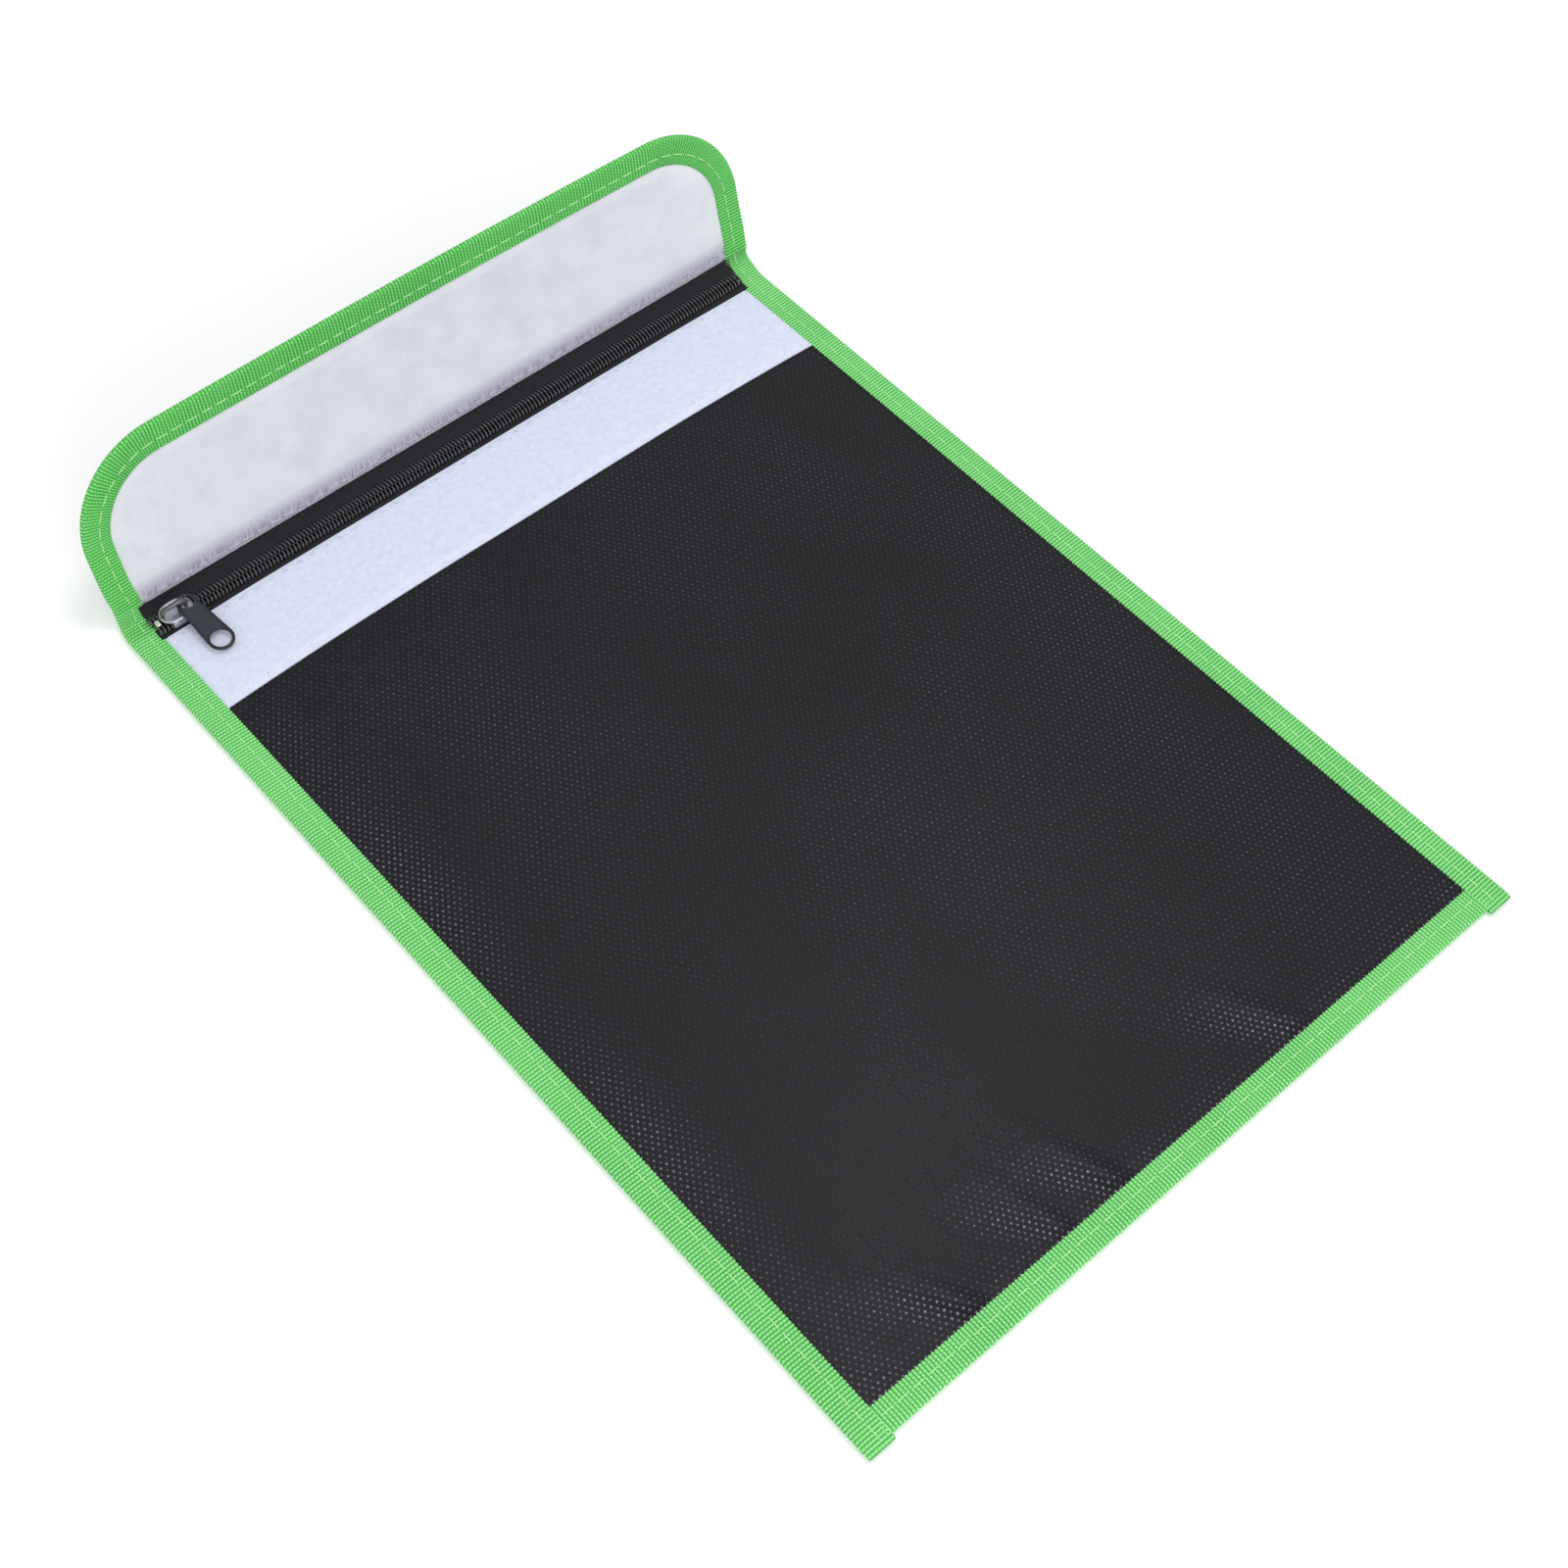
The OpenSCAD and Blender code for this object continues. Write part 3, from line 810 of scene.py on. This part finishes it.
def pouch_bindings():
    lying = np.append(np.arange(TAIL_Y, POUCH_END, RIB / 4), POUCH_END)
    turning = np.linspace(POUCH_END, flap_s(WALL_JOIN), 44)
    for side, word in SIDES:
        body = side_webbing(f"webbing_{word}", side, lying)
        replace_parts(body, f"binding_{word}")
        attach(body, "pouch")
        turn = side_webbing(f"webbing_fold_{word}", side, turning)
        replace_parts(turn, "flap_wall_binding")
        across_fold(turn)


def bottom_binding():
    reach = HALF_W - 5 * MM
    x = np.arange(-reach, reach, RIB / 4)
    ones = np.ones(len(x))
    outline = (x, BOTTOM_Y * ones, 0 * ones, ones)
    piece = webbing("webbing_bottom", outline, x, BOTTOM_BAND, BOTTOM_HALF, shift=-BOTTOM_DROP)
    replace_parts(piece, "binding_bottom")
    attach(piece, "pouch")


def flap_outline():
    """x, f and inward direction round the flap's edge, from its left foot to its right foot."""
    step = RIB / 4
    straight, across = FLAP_L - FLAP_R, HALF_W - FLAP_R
    f = np.arange(WALL_JOIN, straight, step)
    turn = np.arange(0, np.pi / 2, step / FLAP_R)
    x = np.arange(-across, across, step)
    one, none = np.ones(len(f)), np.zeros(len(f))
    rise = (-half_width(flap_s(f), -1), f, one, none)
    fall = (half_width(flap_s(f), 1)[::-1], f[::-1], -one, none)
    c, s = np.cos(turn), np.sin(turn)
    left = (-across - FLAP_R * c, straight + FLAP_R * s, c, -s)
    right = (-left[0][::-1], left[1][::-1], -left[2][::-1], left[3][::-1])
    top = (x, np.full(len(x), FLAP_L), np.zeros(len(x)), -np.ones(len(x)))
    return [np.concatenate(k) for k in zip(rise, left, top, right, fall)]


def walked(x, f):
    """The way gone along a line of points, at each point."""
    return np.concatenate([[0], np.cumsum(np.hypot(np.diff(x), np.diff(f)))])


def flap_width(f):
    """The flap's binding is wider along its top than up its sides."""
    return SIDE_BAND + (FLAP_TOP_BAND - SIDE_BAND) * smooth((f - FLAP_L + FLAP_R) / FLAP_R)


def flap_binding():
    x, f, nx, nf = flap_outline()
    gone = walked(x, f)
    start = flap_s(WALL_JOIN)
    whole = np.round((gone[-1] + 2 * start) / (2 * RIB)) * 2 * RIB - 2 * start
    phase = start + gone * whole / gone[-1]
    outline = (x, flap_s(f), nx, nf)
    width, depth = flap_width(f), pleats(x, flap_s(f))
    piece = webbing("webbing_flap", outline, phase, width, TAPE_HALF, depth, material=SHADED_FLAP_WEBBING)
    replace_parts(piece, "flap_binding")
    up_the_wall(piece)


# ---- sewing

HOLE_R = 0.26 * MM
HOLE_BACK = 0.5 * MM  # how far a needle hole lies before the start of its stitch


def stitches(name, line, start, end, material=GREEN_THREAD,
             pitch=STITCH_PITCH, length=STITCH_L, radius=THREAD_R):
    """A lockstitch row: threads that dive into the cloth at both ends. line(q, lift) is their path."""
    parts = []
    share = np.linspace(0, 1, 9)
    away = np.abs(2 * share - 1)
    for q in np.arange(start, end - length * 0.6, pitch):
        nudge = rng.uniform(-0.12, 0.12) * MM
        lift = radius * (0.75 - 2.0 * away**5)
        path = line(q + nudge + length * share, lift)
        parts.append(tube(path, radius * (1 - 0.25 * away**3), 6))
    piece = solid(name, joined(parts), material)
    return piece


def needle_holes(name, line, start, end):
    """Painted shade in the needle holes between the stitches: small dark flattened beads set in the cloth.
    """
    parts = []
    for q in np.arange(start, end, STITCH_PITCH):
        centre = line(np.array([q - HOLE_BACK]), np.array([0.0]))[0]
        shape = ((0.5, -0.08), (1.0, 0.02), (0.6, 0.09))
        sizes = [(HOLE_R * k, centre[2] + d * MM) for k, d in shape]
        parts.append(lofted([rounded_ring(centre, r, r, z, 2.0, 8) for r, z in sizes]))
    return add_mesh(name, *joined(parts), material=HOLE_SHADE)


def band_line(side):
    """The stitch line along a side tape, as a function of s."""
    inward = SIDE_BAND - STITCH_IN

    def line(s, lift):
        x = side * (half_width(s, side) - inward)
        return place(x, s, band_height(inward, SIDE_BAND, TAPE_HALF) + lift)

    return line


def binding_stitches():
    for side, word in SIDES:
        line = band_line(side)
        row = stitches(f"stitches_{word}", line, BOTTOM_Y + 1.5 * MM, POUCH_END - 1 * MM)
        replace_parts(row, "binding_stitches")
        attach(row, "pouch")
        start, end = POUCH_END + 0.6 * MM, flap_s(WALL_JOIN)
        tack = stitches(f"stitches_fold_{word}", line, start, end, pitch=3.2 * MM, length=3.0 * MM)
        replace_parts(tack, "flap_wall_stitches")
        across_fold(tack)

    def bottom(x, lift):
        deep = BOTTOM_BAND - STITCH_IN
        top = band_height(deep, BOTTOM_BAND, BOTTOM_HALF) - BOTTOM_DROP
        return place(x, BOTTOM_Y + deep, top + lift)

    row = stitches("stitches_bottom", bottom, -SIDE_SEAM + 1 * MM, SIDE_SEAM - 2 * MM)
    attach(row, "pouch")


def flap_edge_stitches():
    x, f, nx, nf = flap_outline()
    inward = flap_width(f) - STITCH_IN
    x, f = x + nx * inward, f + nf * inward
    gone = walked(x, f)

    def face(sign):
        def line(q, lift):
            px, pf = np.interp(q, gone, x), np.interp(q, gone, f)
            width = flap_width(pf)
            height = band_height(width - STITCH_IN, width, TAPE_HALF)
            return place(px, flap_s(pf), sign * (height + lift))

        return line

    for word, sign in (("front", 1), ("rear", -1)):
        row = stitches(f"stitches_flap_{word}", face(sign), 1 * MM, gone[-1] - 1 * MM)
        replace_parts(row, "flap_stitches")
        up_the_wall(row)


# ---- hook strip


def squeeze(x):
    """The hook tape is pressed flat where it runs in under the side bindings."""
    return smooth((SIDE_SEAM + 0.6 * MM - np.abs(x)) / (2.2 * MM))


def hook_strip():
    edge = SIDE_SEAM + 1.5 * MM
    rows, columns = 84, 285
    y = np.linspace(STRIP_Y0, STRIP_Y1, rows)[:, None]
    fluff = rng.normal(0, 1, (rows, columns))
    fluff = (fluff + np.roll(fluff, 1, 0) + np.roll(fluff, 1, 1)) / 3

    def build(side, word):
        x = side * np.linspace(0, edge, columns)[None, :]
        pile = smooth((np.minimum(y - STRIP_Y0, STRIP_Y1 - y) - 1.4 * MM) / (1 * MM))
        rise = (strip_rise(y) + 0.10 * MM * fluff * (x != 0) * pile) * squeeze(x) + 0.06 * MM
        cloth = front_z(x, y)
        top, foot = grid(x, y, cloth + rise), grid(x, y, cloth + 0.01 * MM)
        piece = shell(f"hook_tape_{word}", top, foot, top[..., :2], HOOK)
        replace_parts(piece, "hook_strip", "hook_strip_ends")
        return piece

    halves(build)


def strip_line(y, side):
    """A stitch line along the hook tape, from its middle out to one side."""

    def line(q, lift):
        z = front_z(side * q, y) + strip_rise(y) - 0.1 * MM
        return grid(side * q, y, z + lift)

    return line


def strip_sewing():
    """The hook tape's two stitch rows and the needle holes between their stitches."""
    for row, y in (("lower", STRIP_Y0 + 2.6 * MM), ("upper", STRIP_Y1 - 2.4 * MM)):

        def sew(side, word):
            name, line = f"strip_stitches_{row}_{word}", strip_line(y, side)
            piece = stitches(name, line, 0.6 * MM, SIDE_SEAM - 1 * MM, WHITE_THREAD)
            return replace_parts(piece, "hook_strip_stitches")

        def holes(side, word):
            name = f"strip_needle_holes_{row}_{word}"
            return needle_holes(name, strip_line(y, side), 0.6 * MM, SIDE_SEAM)

        halves(sew)
        halves(holes)


# ---- flap

LOOP_INSET = 2.5 * MM
LOOP_FOOT = 2.0 * MM
BASE_ROW = 5 * MM


def flap_grid(f, inset, columns):
    """x over the flap at each f, inside its rounded outline."""
    f = f[:, None]
    over = np.clip(f - (FLAP_L - FLAP_R), 0, FLAP_R - inset)
    corner = np.sqrt(np.maximum((FLAP_R - inset) ** 2 - over**2, 0)) - (FLAP_R - inset)
    share = np.linspace(-1, 1, columns)[None, :]
    return share * (half_width(flap_s(f), share) - inset + corner), f


def flap_rows(start, inset, count):
    """Rows up the flap, closer together round its corners."""
    t = np.linspace(0, 1, count)
    return start + (FLAP_L - inset - start) * (1 - (1 - t) ** 1.35)


def flap_outer():
    x, f = flap_grid(flap_rows(WALL_JOIN, HEM, 46), HEM, 150)
    s = flap_s(f)
    wave = 0.2 * MM * np.sin(x / (21 * MM) + 1.3 * np.sin(f / (17 * MM))) * tuck(flap_inward(x, f))
    face = back_height(x, s) + wave * dome(f - WALL_JOIN, 20 * MM)
    inner, outer = place(x, s, face + CLOTH_T), place(x, s, face)
    piece = shell("flap_back_cloth", inner, outer, grid(x, s), BACK_CLOTH)
    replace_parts(piece, "flap_cloth")
    up_the_wall(piece)


def loop_face(x, f):
    """Height of the loop lining's face off the middle: soft dents and a slight billow."""
    dents = np.sin(x / (13 * MM) + 0.8 * np.sin(f / (9 * MM))) + 0.6 * np.sin(x / (7.3 * MM) - f / (15 * MM))
    free = tuck(flap_inward(x, f))
    return GRIPPED + free * (0.55 * MM + dome(f - LOOP_FOOT, 14 * MM) * (0.2 * MM + 0.16 * MM * dents))


def loop_lining():
    x, f = flap_grid(flap_rows(LOOP_FOOT, LOOP_INSET, 90), LOOP_INSET, 260)
    face = loop_face(x, f)
    edge = 0.35 * MM * (1 - smooth((f - LOOP_FOOT) / (0.5 * MM)))
    nap = 0.035 * MM * rng.normal(0, 1, face.shape)
    top = place(x, flap_s(f), face - edge + nap)
    bottom = place(x, flap_s(f), 0.1 * MM)
    piece = shell("loop_lining_cloth", top, bottom, grid(x, f), NAP)
    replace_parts(piece, "flap_loop", "flap_wall_loop")
    up_the_wall(piece)


def loop_sewing():
    """The stitch row at the foot of the loop lining, and its needle holes."""

    def line(q, lift):
        return place(q, flap_s(BASE_ROW), loop_face(q, BASE_ROW) - 0.05 * MM + lift)

    end = SIDE_SEAM - 1 * MM
    row = stitches("loop_base_stitches", line, -end, end, LOOP_THREAD, radius=0.17 * MM)
    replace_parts(row, "flap_wall_stitches")
    up_the_wall(row)
    # Dark beads in the needle holes at the foot of the lining: painted shade.
    parts = []
    for q in np.arange(-end, end, STITCH_PITCH):
        bead = line(q - HOLE_BACK + np.linspace(-0.2, 0.2, 3) * MM, 0.0)
        parts.append(tube(bead, np.array([0.1, 0.24, 0.1]) * MM))
    up_the_wall(add_mesh("loop_needle_holes", *joined(parts), material=HOLE_SHADE))


# ---- zip

PITCH = 1.5 * MM
FILAMENT_R = 0.38 * MM
PARK_X = low("slider_top_plate").x


def parting(x):
    """How far each coil row is drawn off the middle on the open side of the parked slider."""
    return 1.1 * MM * smooth((PARK_X + 11 * MM - x) / (11 * MM))


def coil_row(name, side, start, end):
    """One row of the coil: a flattened helix that reaches just past the middle of the zip."""
    reach = (COIL_EDGE - ZIP_Y + 0.35 * MM) / 2 - FILAMENT_R
    rise = (COIL_TOP - TAPE_TOP_Z) / 2 - FILAMENT_R
    turns = (end - start) / PITCH
    theta = np.linspace(0, 2 * np.pi * turns, int(turns * 18))
    offset = 0 if side > 0 else PITCH / 2
    x = start + offset + PITCH * theta / (2 * np.pi)
    y = ZIP_Y + side * (COIL_EDGE - ZIP_Y - reach - FILAMENT_R + parting(x)) + side * reach * np.cos(theta)
    z = (COIL_TOP + TAPE_TOP_Z) / 2 + rise * np.sin(theta)
    piece = solid(name, tube(grid(x, y, z), FILAMENT_R, 7), COIL)
    return piece


def tape_cloth(name, y0, s1, x0, x1):
    """A strip of zip tape from y0 to s1; past the pouch it follows the fold."""
    s = np.linspace(y0, s1, max(8, int((s1 - y0) / (0.5 * MM))))[:, None]
    x = np.linspace(x0, x1, 120)[None, :]
    face = TAPE_TOP_Z - MIDDLE + 0.03 * MM * np.cos(2 * np.pi * s / TAPE_CORD)
    piece = shell(name, place(x, s, face), place(x, s, face - 0.4 * MM), grid(x, s), ZIP_TAPE)
    return piece


def zip_chain():
    edge = SIDE_SEAM + 1 * MM
    upper = tape_cloth("zip_tape_far", ZIP_Y + 0.6 * MM, flap_s(LOOP_FOOT + 1.2 * MM), -edge, edge)
    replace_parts(upper, "zip_tape_upper")
    across_fold(upper)
    far = coil_row("coil_far", 1, -edge, edge)
    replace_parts(far, "zip_coil_upper")
    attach(far, "pouch")

    def near_tape(side, word):
        piece = tape_cloth(f"zip_tape_near_{word}", STRIP_Y1 - 0.4 * MM, ZIP_Y - 0.6 * MM, 0, side * edge)
        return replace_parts(piece, "zip_tape_lower", "zip_tape_ends")

    def near_coil(side, word):
        start, end = (-edge, 0) if side < 0 else (0, edge - PITCH)
        piece = coil_row(f"coil_near_{word}", -1, start, end)
        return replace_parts(piece, "zip_coil_lower", "zip_coil_ends")

    halves(near_tape)
    halves(near_coil)


def end_stop():
    lo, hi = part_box("zip_end_stop")
    grip = Vector((0.15, 0.55, 0)) * MM
    piece = solid("zip_stop_clamp", bevelled_block(lo - grip, hi + grip, 0.35 * MM, 4.5), STOP)
    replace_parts(piece, "zip_end_stop")
    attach(piece, "pouch")


# ---- slider and puller

# How far in and how far up the section of the top plate's rim goes, in mm.
PLATE_RIM = (
    (0.5, 0), (0.12, 0.12), (0, 0.35), (0, 0.6), (0.15, 0.9), (0.45, 1.08), (0.8, 1.1), (1.1, 0.95),
    (1.5, 0.88),
)


def plate_shape(lo, hi, base):
    """The top plate with a rolled rim, and a wall down each of its long sides."""
    centre, half_x, half_y = plan(lo, hi)
    rings = [
        rounded_ring(centre, half_x - i * MM, half_y - i * MM, base + z * MM, 2.35, 64) for i, z in PLATE_RIM
    ]
    parts = [lofted(rings)]
    for side in (-1, 1):
        y = centre[1] + side * (half_y - 0.45 * MM)
        wall_lo = (centre[0] - half_x * 0.62, y - 0.42 * MM, lo.z)
        wall_hi = (centre[0] + half_x * 0.62, y + 0.42 * MM, base + 0.3 * MM)
        parts.append(bevelled_block(wall_lo, wall_hi, 0.25 * MM, 5))
    return joined(parts)


def slider_body():
    """Top plate, bottom plate and the post between them."""
    lo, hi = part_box("slider_top_plate")
    base = hi.z - 1.1 * MM
    under = bevelled_block(*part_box("slider_bottom_plate"), 0.25 * MM, 2.6)
    foot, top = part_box("slider_post")
    post = bevelled_block(foot, (top.x, top.y, base + 0.2 * MM), 0.2 * MM, 4)
    for name, node, shape, material in (
        ("slider_plate_top", "slider_top_plate", plate_shape(lo, hi, base), PLATE),
        ("slider_plate_bottom", "slider_bottom_plate", under, PULL),
        ("slider_wedge_post", "slider_post", post, PULL),
    ):
        piece = solid(name, shape, material)
        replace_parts(piece, node)
        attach(piece, "slider")


def slider_crown():
    """The bail over the top plate: a flat bar that drops into the plate at both ends."""
    lo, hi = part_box("slider_crown")
    rod = 0.65 * MM
    (middle, y), half_x, half_y = plan(lo, hi)
    a = np.linspace(np.pi, 0, 41)
    x = middle + (half_x - rod) * np.sign(np.cos(a)) * np.sqrt(np.abs(np.cos(a)))
    z = lo.z + (hi.z - rod - lo.z) * np.sqrt(np.sin(a)) - 0.2 * MM * (np.sin(a) < 0.02)
    points, faces = tube(grid(x, y, z), rod, 16)
    points[:, 1] = y + (points[:, 1] - y) * half_y / rod
    piece = solid("slider_bail", (points, faces), CROWN)
    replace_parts(piece, "slider_crown")
    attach(piece, "slider")


EYE_R, EYE_OUTER, TIP_R = 2.5 * MM, 3.6 * MM, 4.75 * MM
TIP_REACH = 18.75 * MM
EYE_PLAY = 0.9 * MM
TIP_HOLE_R = 3.6 * MM


def arc(u, radius, angles):
    """Points (u along, v across) on a round stretch of an outline of the puller."""
    return [(u + radius * math.cos(a), radius * math.sin(a)) for a in angles]


def puller_outline(inset=0.0):
    """Round eye, sides that widen and a round tip."""
    lean = math.pi / 2 + math.asin((TIP_R - EYE_OUTER) / TIP_REACH)
    eye = arc(0, EYE_OUTER - inset, np.linspace(lean, 2 * np.pi - lean, 40))
    return eye + arc(TIP_REACH, TIP_R - inset, np.linspace(-lean, lean, 40))


def circle(u, radius):
    return arc(u, radius, full_turn(40))


def ring_line(outline, z):
    """An outline's points at one height, ending where it starts."""
    return np.array([(u, v, z) for u, v in outline + outline[:1]])


def filled(name, outlines, half_t, edge, material):
    """A flat plate with bevelled edges from an outline and its holes."""
    curve = bpy.data.curves.new(name, "CURVE")
    curve.dimensions = "2D"
    curve.fill_mode = "BOTH"
    curve.extrude = half_t - edge
    curve.bevel_depth = edge
    curve.bevel_resolution = 3
    curve.offset = -edge
    for outline in outlines:
        spline = curve.splines.new("POLY")
        spline.points.add(len(outline) - 1)
        for point, (u, v) in zip(spline.points, outline):
            point.co = (u, v, 0, 1)
        spline.use_cyclic_u = True
    holder = new_object(name + "_curve", curve)
    bpy.context.view_layer.update()
    mesh = bpy.data.meshes.new_from_object(holder.evaluated_get(bpy.context.evaluated_depsgraph_get()))
    bpy.data.objects.remove(holder)
    bpy.data.curves.remove(curve)
    mesh.name = name
    mesh.materials.clear()
    mesh.materials.append(material)
    return new_object(name, mesh)


def puller():
    """A pressed tab with a thin eye round the bail, a raised rim and a large round hole."""
    hinge = joint("puller_swivel")
    up = Vector(hinge["axis"]).normalized()
    along = Matrix.Rotation(math.radians(3), 3, up) @ Vector((0, -up.z, up.y))
    across = along.cross(up) * -1
    turn = Matrix((along, across, up)).transposed().to_4x4()
    here = Matrix.Translation(Vector(hinge["pos_m"]) + along * EYE_PLAY) @ turn
    half_t = 0.4 * MM
    eye, hole = circle(0, EYE_R), circle(TIP_REACH, TIP_HOLE_R)
    plate = filled("puller_tab", [puller_outline(), eye, hole], half_t, 0.14 * MM, PULL)
    plate.matrix_world = here
    rim_line = ring_line(puller_outline(0.5 * MM), half_t * 0.8)
    hole_line = ring_line(circle(TIP_REACH, TIP_HOLE_R + 0.4 * MM), half_t * 0.8)
    lines = [tube(rim_line, 0.33 * MM), tube(hole_line, 0.3 * MM)]
    rim = add_mesh("puller_rim", *joined(lines), material=RIM)
    rim.matrix_world = here
    for piece in (plate, rim):
        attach(piece, "puller")
    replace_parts(plate, "puller")


# ---- studio


def area_light(name, position, target, size, power):
    data = bpy.data.lights.new(name, "AREA")
    data.shape = "DISK"
    data.size = size
    data.energy = power
    lamp = new_object(name, data)
    lamp.location = position
    lamp.rotation_euler = (Vector(target) - Vector(position)).to_track_quat("-Z", "Y").to_euler()


def studio():
    world = bpy.data.worlds.new("studio")
    world.use_nodes = True
    sky = world.node_tree.nodes["Background"].inputs
    sky["Color"].default_value = (0.985, 0.99, 1.0, 1)
    sky["Strength"].default_value = 0.8
    scene.world = world
    scene.view_settings.view_transform = "Standard"
    area_light("key", (-0.45, -1.15, 0.75), (0, 0, 0), 0.7, 5)
    area_light("sheen", (0.21, 0.07, 1.02), (-0.11, -0.17, 0), 0.35, 2.5)
    size = 20.0
    corners = [(-size, -size, 0), (size, -size, 0), (size, size, 0), (-size, size, 0)]
    paper = Shader("paper", (0.93, 0.93, 0.93), 0.9, Specular_IOR_Level=0.1, Emission_Strength=0.12)
    paper.bsdf.inputs["Emission Color"].default_value = (1, 1, 1, 1)
    grain = paper.noise(40 * MM)
    paper.finish(paper.blend(grain, (0.92, 0.92, 0.92), (0.94, 0.94, 0.94)))
    floor = add_mesh("floor", corners, [[0, 1, 2, 3]], material=paper.material, flat=True)
    floor.location.z = -0.3 * MM


def camera():
    """Over the near left corner, looking across the bag to the flap, with a slight roll."""
    position = Vector((-0.3115, -0.3207, 0.6441))
    target = Vector((-0.0088, -0.0067, 0.001))
    roll = math.radians(3.02)
    ahead = (target - position).normalized()
    level = ahead.cross(Vector((0, 0, 1))).normalized()
    right = level * math.cos(roll) + level.cross(ahead) * math.sin(roll)
    up = right.cross(ahead)
    data = bpy.data.cameras.new("camera")
    data.sensor_width = 36
    data.lens = 54.4
    eye = new_object("camera", data)
    eye.matrix_world = Matrix.Translation(position) @ Matrix((right, up, -ahead)).transposed().to_4x4()
    scene.camera = eye


# ---- everything

camera()
studio()
back_cloth()
back_lining()
front_lining()
front_cloth()
pouch_bindings()
bottom_binding()
flap_outer()
flap_binding()
loop_lining()
loop_sewing()
hook_strip()
strip_sewing()
zip_chain()
end_stop()
binding_stitches()
flap_edge_stitches()
slider_body()
slider_crown()
puller()
